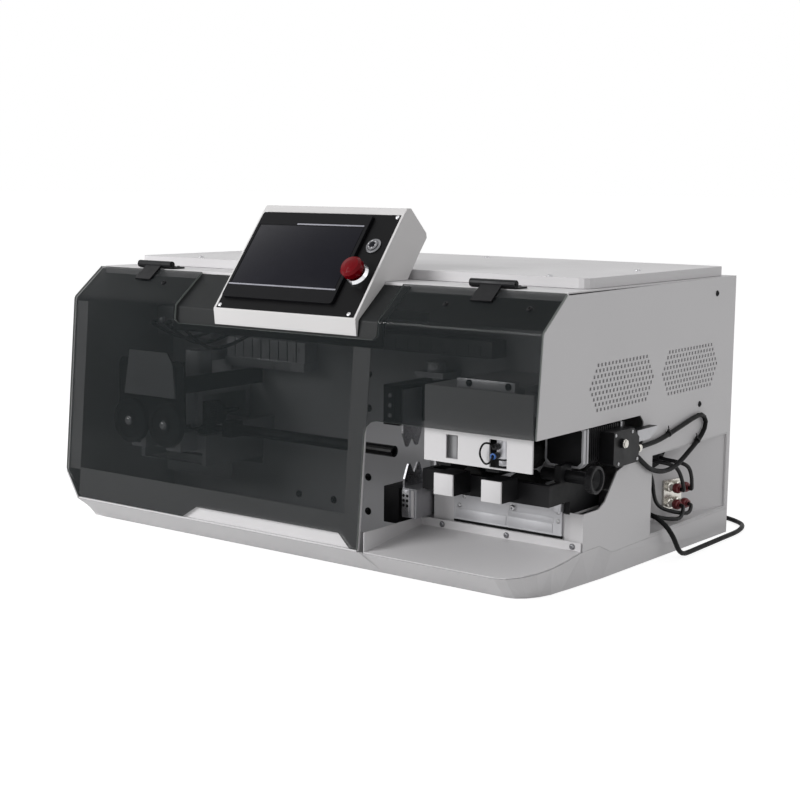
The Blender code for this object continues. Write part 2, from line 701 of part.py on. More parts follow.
def console_shell(machine, face, shell_mat):
    """Folded housing with the recess and cavity that the face plate closes."""
    bm = bmesh.new()
    prism(bm, console_outline(), CONSOLE_LEFT, CONSOLE_RIGHT, "yz")
    shell = add_part("console_shell", bm, shell_mat, machine)
    width = CONSOLE_RIGHT - CONSOLE_LEFT
    left = CONSOLE_LEFT + PLATE_MARGIN
    bm = bmesh.new()
    right = left + width - 2 * PLATE_MARGIN
    block(bm, (left, FACE_EDGE, -PLATE_T - GAP), (right, FACE_LENGTH - FACE_EDGE, 0.02))
    boolean(shell, add_part("cutter_console_recess", bm, None, face, guide=True))
    wall = CONSOLE_WALL
    y, z = FACE_TOP
    deck = BODY_TOP + GAP + wall
    inner = [(FACE_BOTTOM[0] + 0.0155, FACE_BOTTOM[1] + 0.0085), (y - wall, z - 0.015)]
    inner += [(y + 0.014, z + 0.0015), (y + 0.048, z - 0.032), (y + 0.034, z - 0.0515)]
    inner += [(y + 0.0065, deck), (HINGE_Y + 0.008, deck)]
    bm = bmesh.new()
    prism(bm, inner, CONSOLE_LEFT + 3 * wall, CONSOLE_RIGHT - 3 * wall, "yz")
    boolean(shell, add_part("cutter_console_cavity", bm, None, machine, guide=True))
    bm = bmesh.new()
    block(bm, (left + 0.008, 0.014, -0.0105), (right - 0.008, FACE_LENGTH - 0.010, 0.001))
    boolean(shell, add_part("cutter_console_mouth", bm, None, face, guide=True))
    return shell


def console_front(face, mats):
    """Everything on the sloping face, drawn with x to the right, y up the face, z outward."""
    width = CONSOLE_RIGHT - CONSOLE_LEFT
    left = CONSOLE_LEFT + PLATE_MARGIN + GAP
    right = left + width - 2 * PLATE_MARGIN - 2 * GAP
    sx, sy = SCREEN_SIZE
    cx, cy = SCREEN_CENTRE
    half = (sx / 2 - SCREEN_LAP, sy / 2 - SCREEN_LAP)
    holes = [rectangle(cx - half[0], cy - half[1], cx + half[0], cy + half[1])]
    holes.append(circle(*ESTOP_AT, ESTOP_BARREL + GAP, 16))
    holes.append(circle(*BUTTON_AT, BUTTON_RADIUS + BUTTON_BUSH + GAP, 16))
    edge = FACE_EDGE + GAP
    bm = bmesh.new()
    prism(bm, rectangle(left, edge, right, FACE_LENGTH - edge), -PLATE_T, 0.0, "xy", holes)
    add_part("console_face_plate", bm, mats["face"], face)

    bm = bmesh.new()
    corners = rectangle(cx - sx / 2, cy - sy / 2, cx + sx / 2, cy + sy / 2)
    prism(bm, rounded(corners, 0.004, 2), GAP, SCREEN_PROUD)
    bezel = add_part("touch_screen", bm, mats["screen"], face)
    bm = bmesh.new()
    low = (cx - half[0] + GAP, cy - half[1] + GAP, -0.0068)
    block(bm, low, (cx + half[0] - GAP, cy + half[1] - GAP, GAP * 2))
    boolean(bezel, add_part("guide_screen_body", bm, None, face, guide=True), "UNION")
    gx = sx / 2 - GLASS_MARGIN[0]
    gy = sy / 2 - GLASS_MARGIN[1]
    bm = bmesh.new()
    block(bm, (cx - gx, cy - gy, SCREEN_PROUD - GLASS_DEPTH), (cx + gx, cy + gy, SCREEN_PROUD + 0.01))
    boolean(bezel, add_part("cutter_screen_glass", bm, None, face, guide=True))

    bm = bmesh.new()
    at = (*ESTOP_AT, 0.0)
    bore = ESTOP_STEM + 2 * GAP
    wide = ESTOP_HEAD + 0.001
    collar = [(bore, -0.009), (ESTOP_BARREL, -0.009), (ESTOP_BARREL, GAP), (wide, GAP), (wide, 0.003)]
    collar += [(wide - 0.0025, COLLAR_TOP), (bore, COLLAR_TOP)]
    turned(bm, collar, at, (0, 0, 1), 24)
    add_part("estop_collar", bm, mats["metal"], face, smooth=True)

    bm = bmesh.new()
    stem = ESTOP_STEM
    under = COLLAR_TOP + ESTOP_TRAVEL + GAP
    head = [(0, -0.004), (stem, -0.004), (stem, under), (ESTOP_HEAD - 0.0015, under)]
    head += [(ESTOP_HEAD, under + 0.002), (ESTOP_HEAD, under + 0.0095)]
    head += [(ESTOP_HEAD - 0.003, under + 0.0130), (0.006, under + 0.0150), (0, under + 0.0155)]
    estop_axis = pivot("estop_axis", at, face)
    turned(bm, head, (0, 0, 0), (0, 0, 1), 24)
    add_part("estop_button", bm, mats["red"], estop_axis, smooth=True)

    bm = bmesh.new()
    at = (*BUTTON_AT, 0.0)
    r = BUTTON_RADIUS
    bush = r + BUTTON_BUSH
    ring = [(r + GAP * 2, -0.008), (bush, -0.008), (bush, GAP), (bush + 0.002, GAP)]
    ring += [(bush + 0.002, 0.0016), (bush + 0.0008, 0.0026), (r + GAP * 2, 0.0026)]
    turned(bm, ring, at, (0, 0, 1), 20)
    add_part("power_button_ring", bm, mats["metal"], face, smooth=True)

    bm = bmesh.new()
    plunger = [(0, -0.0045), (r, -0.0045), (r, 0.0038), (r - 0.001, 0.0048), (0, 0.0048)]
    button_axis = pivot("power_button_axis", at, face)
    turned(bm, plunger, (0, 0, 0), (0, 0, 1), 20)
    add_part("power_button", bm, mats["metal"], button_axis, smooth=True)


UPPER_Z = WIRE_Z + ROLLER_RADIUS + NIP / 2
LOWER_Z = WIRE_Z - ROLLER_RADIUS - NIP / 2
BAR_Y = (WIRE_Y - 0.046, WIRE_Y - 0.036)
REAR_Y = (WIRE_Y + 0.061, WIRE_Y + 0.071)
BEARING_Y = WIRE_Y - 0.082
RAIL_Y = PLATE_Y - 0.009
SHELF_Z = LOWER_Z - ROLLER_RADIUS - 0.0135
FRAME_TOP = UPPER_Z + ROLLER_RADIUS + 0.0205
CYLINDER_TOP = FRAME_TOP + 0.055
OUTFEED_HALF = ROLLER_PITCH / 2 + ROLLER_RADIUS + 0.013
INFEED_HALF = OUTFEED_HALF + 0.030
CONDUIT_PIVOT_X = OUTFEED_X + OUTFEED_HALF + 0.013
CONDUIT_END = BLADE_X - 0.030


def mounting_plate(machine, grey):
    """Upright plate that carries the feed units and the blades, with the two lift rails."""
    holes = []
    for middle in (INFEED_X, OUTFEED_X):
        for side in (-0.5, 0.5):
            holes.append(circle(middle + side * ROLLER_PITCH, LOWER_Z, SHAFT_RADIUS + SHAFT_FIT, 12))
    bm = bmesh.new()
    outline = rectangle(MOUNT_LEFT, FLOOR_TOP + GAP, MOUNT_RIGHT, MOUNT_TOP)
    prism(bm, outline, PLATE_Y, PLATE_Y + MOUNT_T, "xz", holes)
    plate = add_part("mounting_plate", bm, grey, machine)
    bm = bmesh.new()
    for middle in (INFEED_X, OUTFEED_X):
        low = (middle - 0.010, RAIL_Y, FRAME_TOP - 0.048)
        block(bm, low, (middle + 0.010, PLATE_Y + 0.001, FRAME_TOP + 0.032))
    return boolean(plate, add_part("guide_lift_rails", bm, None, machine, guide=True), "UNION")


def shelf_outline(low):
    """Side view of the angle bracket under a feed unit: skirt, shelf and back flange."""
    front = TRAY_BACK + 0.005
    back = PLATE_Y - GAP
    under = SHELF_Z - 0.003
    flange = low + 0.015
    outline = [(front, low), (front, SHELF_Z), (back, SHELF_Z), (back, flange), (back - 0.003, flange)]
    return outline + [(back - 0.003, under), (front + 0.003, under), (front + 0.003, low)]


def lower_frame(name, middle, half, machine, mat, infeed):
    """Fixed frame of a feed unit: two cheeks, a front bar and two bearing blocks.

    The infeed one holds the guide tube and the outfeed one the pin of the swinging tube.
    """
    top = LOWER_Z + 0.013
    back = PLATE_Y - GAP
    cheek = 0.008
    outline = [(middle - half, BAR_Y[0]), (middle + half, BAR_Y[0]), (middle + half, back)]
    outline += [(middle + half - cheek, back), (middle + half - cheek, BAR_Y[1])]
    outline += [(middle - half + cheek, BAR_Y[1]), (middle - half + cheek, back), (middle - half, back)]
    bm = bmesh.new()
    prism(bm, outline, SHELF_Z - 0.001, top, "xy")
    frame = add_part(name, bm, mat, machine)
    extras = bmesh.new()
    cuts = bmesh.new()
    low = (middle - half + cheek, BAR_Y[0] - 0.014, SHELF_Z + 0.0001)
    block(cuts, low, (middle + half - cheek, BAR_Y[1] + 0.016, LOWER_Z - 0.015))
    for side in (-0.5, 0.5):
        x = middle + side * ROLLER_PITCH
        block(extras, (x - 0.0155, BEARING_Y, LOWER_Z - 0.010), (x + 0.0155, BAR_Y[0] + 0.001, top + 0.006))
        rod(cuts, (x, BEARING_Y - 0.008, LOWER_Z), (0, 1, 0), 0.060, SHAFT_RADIUS + SHAFT_FIT, 12)
    skirt = SHELF_Z - (0.045 if infeed else 0.030)
    prism(extras, shelf_outline(skirt), middle - half, middle + half, "yz")
    if not infeed:
        x = CONDUIT_PIVOT_X
        hub = CONDUIT_HUB / 2
        low = (x - 0.0145, WIRE_Y + hub + GAP, WIRE_Z - hub)
        block(extras, low, (x + 0.011, PLATE_Y - GAP, WIRE_Z + hub))
    if infeed:
        x = middle + half - cheek
        low = (x - 0.002, WIRE_Y - 0.0165, top - 0.004)
        block(extras, low, (x + cheek - 0.0005, WIRE_Y + GUIDE_RADIUS + 0.0014, WIRE_Z + 0.0155))
        rod(cuts, (x - 0.02, WIRE_Y, WIRE_Z), (1, 0, 0), 0.05, GUIDE_RADIUS + GAP, 20)
    boolean(frame, add_part("guide_" + name, extras, None, machine, guide=True), "UNION")
    boolean(frame, add_part("cutter_" + name, cuts, None, machine, guide=True))
    if not infeed:
        bm = bmesh.new()
        rod(bm, (CONDUIT_PIVOT_X, WIRE_Y + GUIDE_RADIUS + 0.0002, WIRE_Z), (0, 1, 0), 0.012, SHAFT_RADIUS, 12)
        boolean(frame, add_part("guide_conduit_pin", bm, None, machine, guide=True), "UNION")
    return frame


def upper_frame(name, middle, parent, mat):
    """Lifting frame: an arch over the upper rollers, its slide block and the cylinder's rod."""
    half = ROLLER_PITCH / 2 + 0.0175
    foot = UPPER_Z - 0.012
    roof = FRAME_TOP - 0.008
    arch = [(BAR_Y[0], foot), (BAR_Y[1], foot), (BAR_Y[1], roof), (REAR_Y[0], roof)]
    arch += [(REAR_Y[0], foot), (REAR_Y[1], foot), (REAR_Y[1], FRAME_TOP), (BAR_Y[0], FRAME_TOP)]
    bm = bmesh.new()
    prism(bm, arch, middle - half, middle + half, "yz")
    frame = add_part(name, bm, mat, parent)
    extras = bmesh.new()
    cuts = bmesh.new()
    for side in (-0.5, 0.5):
        x = middle + side * ROLLER_PITCH
        low = (x - 0.010, BEARING_Y - 0.002, UPPER_Z - 0.010)
        block(extras, low, (x + 0.010, BAR_Y[0] + 0.001, FRAME_TOP - 0.002))
        rod(cuts, (x, BEARING_Y - 0.008, UPPER_Z), (0, 1, 0), 0.20, SHAFT_RADIUS + SHAFT_FIT, 12)
    low = (middle - 0.018, REAR_Y[1] - 0.001, FRAME_TOP - 0.034)
    block(extras, low, (middle + 0.018, RAIL_Y - GAP, FRAME_TOP - 0.002))
    rod(extras, (middle, WIRE_Y + CYLINDER_BACK, FRAME_TOP - 0.001), (0, 0, 1), 0.034, ROD_RADIUS, 12)
    boolean(frame, add_part("guide_" + name, extras, None, parent, guide=True), "UNION")
    return boolean(frame, add_part("cutter_" + name, cuts, None, parent, guide=True))


def lift_cylinder(name, middle, machine, mat, to_plate):
    """Compact air cylinder over a lifting frame."""
    half = CYLINDER_SIZE / 2
    y = WIRE_Y + CYLINDER_BACK
    low = FRAME_TOP + LIFT_TRAVEL + 0.0015
    top = CYLINDER_TOP - GAP
    corners = rectangle(middle - half, y - half, middle + half, y + half)
    bm = bmesh.new()
    prism(bm, rounded(corners, 0.004, 2), low, top, "xy")
    body = add_part(name, bm, mat, machine)
    if to_plate:
        bm = bmesh.new()
        start = (middle - 0.013, y + half - 0.001, top - 0.0177)
        block(bm, start, (middle + 0.013, PLATE_Y - GAP, top - 0.001))
        boolean(body, add_part("guide_" + name, bm, None, machine, guide=True), "UNION")
    bm = bmesh.new()
    rod(bm, (middle, y, low - 0.01), (0, 0, 1), 0.045, ROD_RADIUS + SHAFT_FIT, 12)
    return boolean(body, add_part("cutter_" + name, bm, None, machine, guide=True))


def roller(name, x, z, parent, rear, rubber):
    """Ribbed feed roller with its shaft."""
    low = WIRE_Y - ROLLER_WIDTH / 2
    r = ROLLER_RADIUS
    front = BEARING_Y - 0.001
    hub = 0.009
    profile = [(0, front), (SHAFT_RADIUS, front), (SHAFT_RADIUS, low - 0.006), (hub, low - 0.006), (hub, low)]
    groove = 0.0012
    profile += [(r - groove, low), (r, low + groove)]
    for k in range(1, 4):
        y = low + ROLLER_WIDTH * k / 4
        profile += [(r, y - groove), (r - groove, y), (r, y + groove)]
    high = low + ROLLER_WIDTH
    profile += [(r, high - groove), (r - groove, high), (hub, high), (hub, high + 0.006)]
    profile += [(SHAFT_RADIUS, high + 0.006), (SHAFT_RADIUS, rear), (0, rear)]
    axis = joint_pivot(name + "_axis", (x, 0.0, z), parent)
    bm = bmesh.new()
    turned(bm, profile, (x, 0.0, z), (0, 1, 0), 12)
    return add_part(name, bm, rubber, axis, smooth=True)


def feed_unit(prefix, middle, machine, mats, infeed):
    half = INFEED_HALF if infeed else OUTFEED_HALF
    lift = joint_pivot(prefix + "_lift", (middle, WIRE_Y, FRAME_TOP), machine)
    lower_frame(prefix + "_lower_frame", middle, half, machine, mats["cast"], infeed)
    upper_frame(prefix + "_upper_frame", middle, lift, mats["cast"])
    lift_cylinder(prefix + "_lift_cylinder", middle, machine, mats["aluminium"], not infeed)
    for number, side in ((1, -0.5), (2, 0.5)):
        x = middle + side * ROLLER_PITCH
        rear = PLATE_Y + MOUNT_T + 0.004
        roller("%s_lower_roller_%d" % (prefix, number), x, LOWER_Z, machine, rear, mats["rubber"])
        roller("%s_upper_roller_%d" % (prefix, number), x, UPPER_Z, lift, REAR_Y[1] + 0.002, mats["rubber"])


def infeed_front_plate(machine, white):
    """Folded front plate with two slots; its top flange carries the lift cylinder."""
    front = BEARING_Y - 0.024
    left = INFEED_X - 0.055
    low = WIRE_Z + 0.019
    top = CYLINDER_TOP + 0.0032
    slots = [rectangle(left + 0.035, low + 0.006, left + 0.053, low + 0.037)]
    slots.append(rectangle(left + 0.102, low + 0.002, left + 0.128, low + 0.038))
    bm = bmesh.new()
    prism(bm, rectangle(left, low, left + 0.166, top), front, front + 0.003, "xz", slots)
    plate = add_part("infeed_front_plate", bm, white, machine)
    bm = bmesh.new()
    block(bm, (left, front + 0.001, CYLINDER_TOP), (MOUNT_RIGHT - 0.001, PLATE_Y - GAP, top))
    return boolean(plate, add_part("guide_infeed_flange", bm, None, machine, guide=True), "UNION")


def outfeed_front_plate(machine, black):
    front = BEARING_Y - 0.008
    left = OUTFEED_X - OUTFEED_HALF
    right = OUTFEED_X + OUTFEED_HALF
    top = CYLINDER_TOP - 0.006
    corners = rectangle(left, LOWER_Z + 0.022, right, top)
    bm = bmesh.new()
    prism(bm, rounded(corners, 0.012, 3), front, front + 0.003, "xz")
    plate = add_part("outfeed_front_plate", bm, black, machine)
    bm = bmesh.new()
    for x in (left + 0.001, right - 0.006):
        block(bm, (x, front + 0.001, top - 0.047), (x + 0.005, PLATE_Y - GAP, top - 0.022))
    return boolean(plate, add_part("guide_outfeed_arms", bm, None, machine, guide=True), "UNION")


def inlet_guide_tube(machine, black):
    """Long guide tube with the flared ring that the wire enters."""
    start = INFEED_X + ROLLER_PITCH / 2 + ROLLER_RADIUS + 0.006
    end = INLET_END
    ring = INLET_RING
    profile = [(WIRE_BORE, start), (GUIDE_RADIUS, start), (GUIDE_RADIUS, end - 0.013)]
    profile += [(ring - 0.002, end - 0.011), (ring, end - 0.009), (ring, end - 0.001)]
    profile += [(ring - 0.001, end), (ring - 0.004, end)]
    profile += [(ring - 0.0055, end - 0.004), (WIRE_BORE + 0.003, end - 0.007), (WIRE_BORE, end - 0.009)]
    bm = bmesh.new()
    turned(bm, profile, (0.0, WIRE_Y, WIRE_Z), (1, 0, 0), 20)
    return add_part("inlet_guide_tube", bm, black, machine, smooth=True)


def exit_guide_tube(machine, black):
    """Bush through the left panel where the finished wire leaves."""
    start = -HALF_WIDTH
    end = OUTFEED_X - OUTFEED_HALF - 0.001
    inside = -INNER_HALF + GAP
    collar = GUIDE_RADIUS + 0.0057
    bm = bmesh.new()
    profile = [(WIRE_BORE, start), (GUIDE_RADIUS, start), (GUIDE_RADIUS, inside)]
    profile += [(collar, inside), (collar, inside + 0.006), (GUIDE_RADIUS, inside + 0.006)]
    profile += [(GUIDE_RADIUS, end), (WIRE_BORE, end)]
    turned(bm, profile, (0.0, WIRE_Y, WIRE_Z), (1, 0, 0), 16)
    return add_part("exit_guide_tube", bm, black, machine, smooth=True)


def outlet_conduit(machine, black):
    """Swinging tube that carries the cut end from the blades to the outfeed rollers."""
    axis = joint_pivot("conduit_axis", (CONDUIT_PIVOT_X, WIRE_Y, WIRE_Z), machine)
    hub = CONDUIT_HUB / 2
    start = CONDUIT_PIVOT_X - hub
    bm = bmesh.new()
    tube(bm, (start, WIRE_Y, WIRE_Z), (1, 0, 0), CONDUIT_END - start, GUIDE_RADIUS, WIRE_BORE, 16)
    conduit = add_part("outlet_conduit", bm, black, axis, smooth=True)
    bm = bmesh.new()
    low = (start + 0.001, WIRE_Y - hub, WIRE_Z - hub)
    block(bm, low, (start + CONDUIT_HUB - 0.001, WIRE_Y + hub, WIRE_Z + hub))
    boolean(conduit, add_part("guide_conduit_hub", bm, None, axis, guide=True), "UNION")
    bm = bmesh.new()
    rod(bm, (start - 0.01, WIRE_Y, WIRE_Z), (1, 0, 0), 0.06, WIRE_BORE, 16)
    depth = GUIDE_RADIUS - 0.0008
    rod(bm, (CONDUIT_PIVOT_X, WIRE_Y + depth, WIRE_Z), (0, 1, 0), 0.01, SHAFT_RADIUS + SHAFT_FIT, 12)
    return boolean(conduit, add_part("cutter_conduit", bm, None, axis, guide=True))


def v_blade(sign, top):
    """Outline of a V blade; sign +1 points down at the wire, -1 points up at it."""
    half = BLADE_WIDTH / 2
    tip = WIRE_Z + sign * BLADE_OPEN
    apex = tip + sign * BLADE_V
    shoulder = tip + sign * 0.020
    points = []
    for side in (-1, 1):
        edge = [(half, top), (half, shoulder), (half - 0.009, tip), (half - 0.013, tip)]
        edge = [(WIRE_Y + side * y, z) for y, z in edge]
        points += edge + [(WIRE_Y, apex)] if side < 0 else edge[::-1]
    return points


BACK_FACE = PLATE_Y - 0.007
CARRIAGE_HEIGHT = {1: 0.056, -1: 0.0415}


def blade_carriage(name, sign, axis, mat):
    """L-shaped block: the arm that holds a blade and the slide that the screw drives."""
    left = BLADE_X - 0.029
    right = BLADE_X + 0.029
    near = WIRE_Z + sign * CARRIAGE_OFF
    far = near + sign * CARRIAGE_HEIGHT[sign]
    front = WIRE_Y - 0.028
    rear = SCREW_Y - 0.017
    back = BACK_FACE - GAP
    if sign > 0:
        arm = BLADE_X - BLADE_T / 2 - GAP
        outline = [(left, front), (arm, front), (arm, rear), (right, rear), (right, back), (left, back)]
    else:
        arm = BLADE_X + BLADE_T * 1.5 + 2 * GAP
        outline = [(arm, front), (right, front), (right, back), (left, back), (left, rear), (arm, rear)]
    bore = circle(BLADE_X, SCREW_Y, SCREW_RADIUS + SHAFT_FIT, 16)
    bm = bmesh.new()
    prism(bm, outline, min(near, far), max(near, far), "xy", [bore])
    return add_part(name, bm, mat, axis)


def blade(name, sign, axis, steel):
    end = WIRE_Z + sign * (CARRIAGE_OFF + CARRIAGE_HEIGHT[sign] - 0.006)
    start = BLADE_X - BLADE_T / 2
    if sign < 0:
        start = BLADE_X + BLADE_T / 2 + GAP
    bm = bmesh.new()
    prism(bm, v_blade(sign, end), start, start + BLADE_T, "yz")
    return add_part(name, bm, steel, axis)


def blade_unit(machine, mats):
    """Column, left-and-right-handed screw, two carriages and their blades."""
    low = WIRE_Z - CARRIAGE_OFF - CARRIAGE_HEIGHT[-1] - 0.0045
    high = WIRE_Z + CARRIAGE_OFF + CARRIAGE_HEIGHT[1] + 0.0045
    front = SCREW_Y - 0.018
    back = PLATE_Y - GAP
    arm = 0.008
    outline = [(BACK_FACE, low), (front, low), (front, low - arm), (back, low - arm)]
    outline += [(back, high + arm), (front, high + arm), (front, high), (BACK_FACE, high)]
    bm = bmesh.new()
    prism(bm, outline, BLADE_X - 0.024, BLADE_X + 0.024, "yz")
    column = add_part("blade_column", bm, mats["cast"], machine)
    bm = bmesh.new()
    reach = high - low + 0.04
    rod(bm, (BLADE_X, SCREW_Y, low - 0.02), (0, 0, 1), reach, SCREW_RADIUS + SHAFT_FIT, 16)
    boolean(column, add_part("cutter_blade_column", bm, None, machine, guide=True))

    screw_axis = joint_pivot("blade_screw_axis", (BLADE_X, SCREW_Y, WIRE_Z), machine)
    r = SCREW_RADIUS
    knob = r + 0.009
    end = low - arm - 0.002
    top = high + arm
    profile = [(0, end), (r, end), (r, top + GAP), (knob, top + GAP), (knob, top + 0.002)]
    profile += [(knob - 0.0015, top + 0.003), (knob - 0.0015, top + 0.011), (knob, top + 0.012)]
    profile += [(knob, top + 0.014), (0, top + 0.014)]
    bm = bmesh.new()
    turned(bm, profile, (BLADE_X, SCREW_Y, 0.0), (0, 0, 1), 16)
    add_part("blade_screw", bm, mats["steel"], screw_axis, smooth=True)

    for name, sign, mat in (("upper", 1, mats["black"]), ("lower", -1, mats["aluminium"])):
        axis = joint_pivot(name + "_blade_slide", (BLADE_X, WIRE_Y, WIRE_Z + sign * CARRIAGE_OFF), machine)
        blade_carriage(name + "_blade_carriage", sign, axis, mat)
        blade(name + "_blade", sign, axis, mats["steel"])


def stepper_motor(name, x, z, start, length, machine, black):
    """Square stepper motor: a slim core between two end bells with cut corners."""
    half = MOTOR_SIZE / 2
    cut = 0.007
    corner = [(half, half - cut), (half - cut, half)]
    square = corner + [(-a, b) for a, b in corner[::-1]]
    square += [(-a, -b) for a, b in corner] + [(a, -b) for a, b in corner[::-1]]
    full = [(x + a, z + b) for a, b in square]
    bell = 0.0125
    bm = bmesh.new()
    prism(bm, full, start, start + length, "xz")
    motor = add_part(name, bm, black, machine)
    bm = bmesh.new()
    ring = [(x + a * 1.2, z + b * 1.2) for a, b in square]
    slim = [(x + a * 0.955, z + b * 0.955) for a, b in square]
    prism(bm, ring, start + bell, start + length - bell, "xz", [slim])
    return boolean(motor, add_part("cutter_" + name, bm, None, machine, guide=True))


MOTOR_START = WIRE_Y + GUIDE_RADIUS + 0.002
MOTOR_LENGTH = 0.1097
BOX_X = (MOTOR_X + MOTOR_SIZE / 2 + GAP, HALF_WIDTH + 0.015)
BOX_Y = (WIRE_Y + 0.055, WIRE_Y + 0.125)
BOX_Z = (WIRE_Z + 0.006, WIRE_Z + 0.054)
CABLE_RADIUS = 0.0035
CABLE_X = HALF_WIDTH + CABLE_RADIUS + 0.0012
CABLE_HIGH = BOX_Z[0] + 0.0155


def motor_terminal_box(machine, black):
    """Terminal box on the motor's side with its gland, knob and bent bracket."""
    front, back = BOX_Y
    low, high = BOX_Z
    corners = [(front, low + 0.005), (front + 0.010, low), (back, low), (back, high - 0.014)]
    corners += [(back - 0.016, high), (front, high)]
    bm = bmesh.new()
    prism(bm, corners, *BOX_X, "yz")
    box = add_part("motor_terminal_box", bm, black, machine)
    bm = bmesh.new()
    rod(bm, (BOX_X[1] - 0.001, front + 0.023, high - 0.017), (1, 0, 0), 0.0045, 0.0065, 16)
    y = back - 0.001
    rod(bm, (CABLE_X, y, CABLE_HIGH), (0, 1, 0), 0.012, 0.0058, 12)
    bend = back + 0.035
    tip = back + 0.057
    outline = [(y, high - 0.022), (bend, high - 0.022), (tip, high - 0.010)]
    outline += [(tip, high - 0.006), (y, high - 0.006)]
    prism(bm, outline, HALF_WIDTH + GAP, HALF_WIDTH + 0.012, "yz")
    return boolean(box, add_part("guide_terminal_glands", bm, None, machine, guide=True), "UNION")


def smooth_route(points, count):
    """Evenly spaced points on a smooth curve through the route's own points."""
    points = [Vector(point) for point in points]
    dense = []
    for i in range(len(points) - 1):
        a = points[max(i - 1, 0)]
        b = points[i]
        c = points[i + 1]
        d = points[min(i + 2, len(points) - 1)]
        for k in range(24):
            t = k / 24
            dense.append(0.5 * (2 * b + (c - a) * t + (2 * a - 5 * b + 4 * c - d) * t * t
                                + (3 * b - a - 3 * c + d) * t ** 3))
    dense.append(points[-1])
    reach = [0.0]
    for i in range(1, len(dense)):
        reach.append(reach[-1] + (dense[i] - dense[i - 1]).length)
    result = []
    k = 0
    for i in range(count):
        goal = reach[-1] * i / (count - 1)
        while k < len(reach) - 2 and reach[k + 1] < goal:
            k += 1
        span = max(reach[k + 1] - reach[k], 1e-9)
        result.append(dense[k].lerp(dense[k + 1], min(max((goal - reach[k]) / span, 0.0), 1.0)))
    return result


def flexible(name, routes, radius, mat, parent, resolution=2):
    """Round flexible tubes along one or more routes, each a list of points and a count."""
    curve = bpy.data.curves.new(name, "CURVE")
    curve.dimensions = "3D"
    curve.bevel_depth = radius
    curve.bevel_resolution = resolution
    curve.use_fill_caps = True
    for points, count in routes:
        spline = curve.splines.new("POLY")
        path = smooth_route(points, count)
        spline.points.add(len(path) - 1)
        for item, point in zip(spline.points, path):
            item.co = (*point, 1.0)
    curve.materials.append(mat)
    obj = bpy.data.objects.new(name, curve)
    bpy.context.scene.collection.objects.link(obj)
    obj.parent = parent
    return obj


MOTOR_CABLE_ROUTE = [
    (CABLE_X, BOX_Y[1] + 0.0113, CABLE_HIGH),
    (CABLE_X, 0.238, 0.1745),
    (CABLE_X, 0.285, 0.1770),
    (CABLE_X, 0.340, 0.1860),
    (CABLE_X, 0.390, 0.1950),
    (CABLE_X, 0.418, 0.1965),
    (CABLE_X, 0.432, 0.1830),
    (CABLE_X, 0.418, 0.1660),
    (CABLE_X, 0.385, 0.1500),
    (CABLE_X, 0.340, 0.1330),
    (CABLE_X, 0.300, 0.1300),
    (CABLE_X, 0.262, 0.1385),
    (CABLE_X, 0.235, 0.1530),
    (CABLE_X, 0.217, 0.1640),
    (CABLE_X, BOX_Y[1] + 2 * GAP, 0.1650),
]


def pocket_wall_x(y):
    """Inner face of the pocket's slanted wall."""
    return INNER_HALF - POCKET_DEPTH * (POCKET_BACK - y) / (POCKET_BACK - POCKET_FRONT)


def connector_pocket(machine, white):
    """Wedge-shaped recess for the air and mains connections."""
    skin = 0.0015
    inset = GAP
    front = POCKET_FRONT + inset + skin
    back = POCKET_BACK - inset - skin
    low = POCKET_BOTTOM + inset + skin
    high = POCKET_TOP - inset - skin
    deep = pocket_wall_x(front)
    edge = HALF_WIDTH - 0.0002
    shallow = pocket_wall_x(back - 0.012)
    turn = back - 0.012
    mouth = [(edge, front), (deep, front), (shallow, turn), (shallow + 0.002, back), (edge, back)]
    bm = bmesh.new()
    rows = []
    for z in (low, high):
        rows.append([bm.verts.new((x, y, z)) for x, y in mouth])
    for i in range(len(mouth) - 1):
        bm.faces.new((rows[0][i], rows[0][i + 1], rows[1][i + 1], rows[1][i]))
    bm.faces.new(rows[0])
    bm.faces.new(rows[1][::-1])
    obj = add_part("connector_pocket", bm, white, machine)
    wall = obj.modifiers.new("sheet", "SOLIDIFY")
    wall.thickness = skin
    wall.offset = 1
    wall.use_even_offset = True
    return obj


WALL_OUT = Vector((POCKET_BACK - POCKET_FRONT, -POCKET_DEPTH, 0.0)).normalized()
FITTING_AT = (POCKET_BACK - 0.123, POCKET_BOTTOM + 0.037)
FITTING_PITCH = (0.018, 0.024)
FITTING_LENGTH = 0.020
GLAND_LENGTH = 0.024
GLAND_AT = (POCKET_FRONT + 0.032, POCKET_BOTTOM + 0.025)


def wall_point(y, z, out=0.0):
    return Vector((pocket_wall_x(y), y, z)) + WALL_OUT * out


def air_fittings(machine, brass):
    """Bulkhead plate on the slanted wall with its four push-in fittings."""
    base = 0.003
    middle = wall_point(*FITTING_AT, 2 * GAP)
    along = Vector((-WALL_OUT.y, WALL_OUT.x, 0.0))
    turn = Matrix((WALL_OUT, along, (0, 0, 1))).transposed().to_4x4()
    scale = Matrix.Diagonal((base, 0.040, 0.044, 1.0))
    bm = bmesh.new()
    place = Matrix.Translation(middle + WALL_OUT * base / 2) @ turn @ scale
    bmesh.ops.create_cube(bm, size=1.0, matrix=place)
    plate = add_part("air_fittings", bm, brass, machine, smooth=True)
    bm = bmesh.new()
    for across, up in ((-0.5, -0.5), (0.5, -0.5), (-0.5, 0.5), (0.5, 0.5)):
        y = FITTING_AT[0] + across * FITTING_PITCH[0]
        start = wall_point(y, FITTING_AT[1] + up * FITTING_PITCH[1], base / 2)
        wide, waist, cap = 0.0072, 0.0052, 0.0065
        profile = [(0, 0), (wide, 0), (wide, 0.006), (waist, 0.007), (waist, 0.013), (cap, 0.0135)]
        profile += [(cap, FITTING_LENGTH), (0, FITTING_LENGTH)]
        turned(bm, profile, start, WALL_OUT, 10)
    return boolean(plate, add_part("guide_fittings", bm, None, machine, guide=True), "UNION")


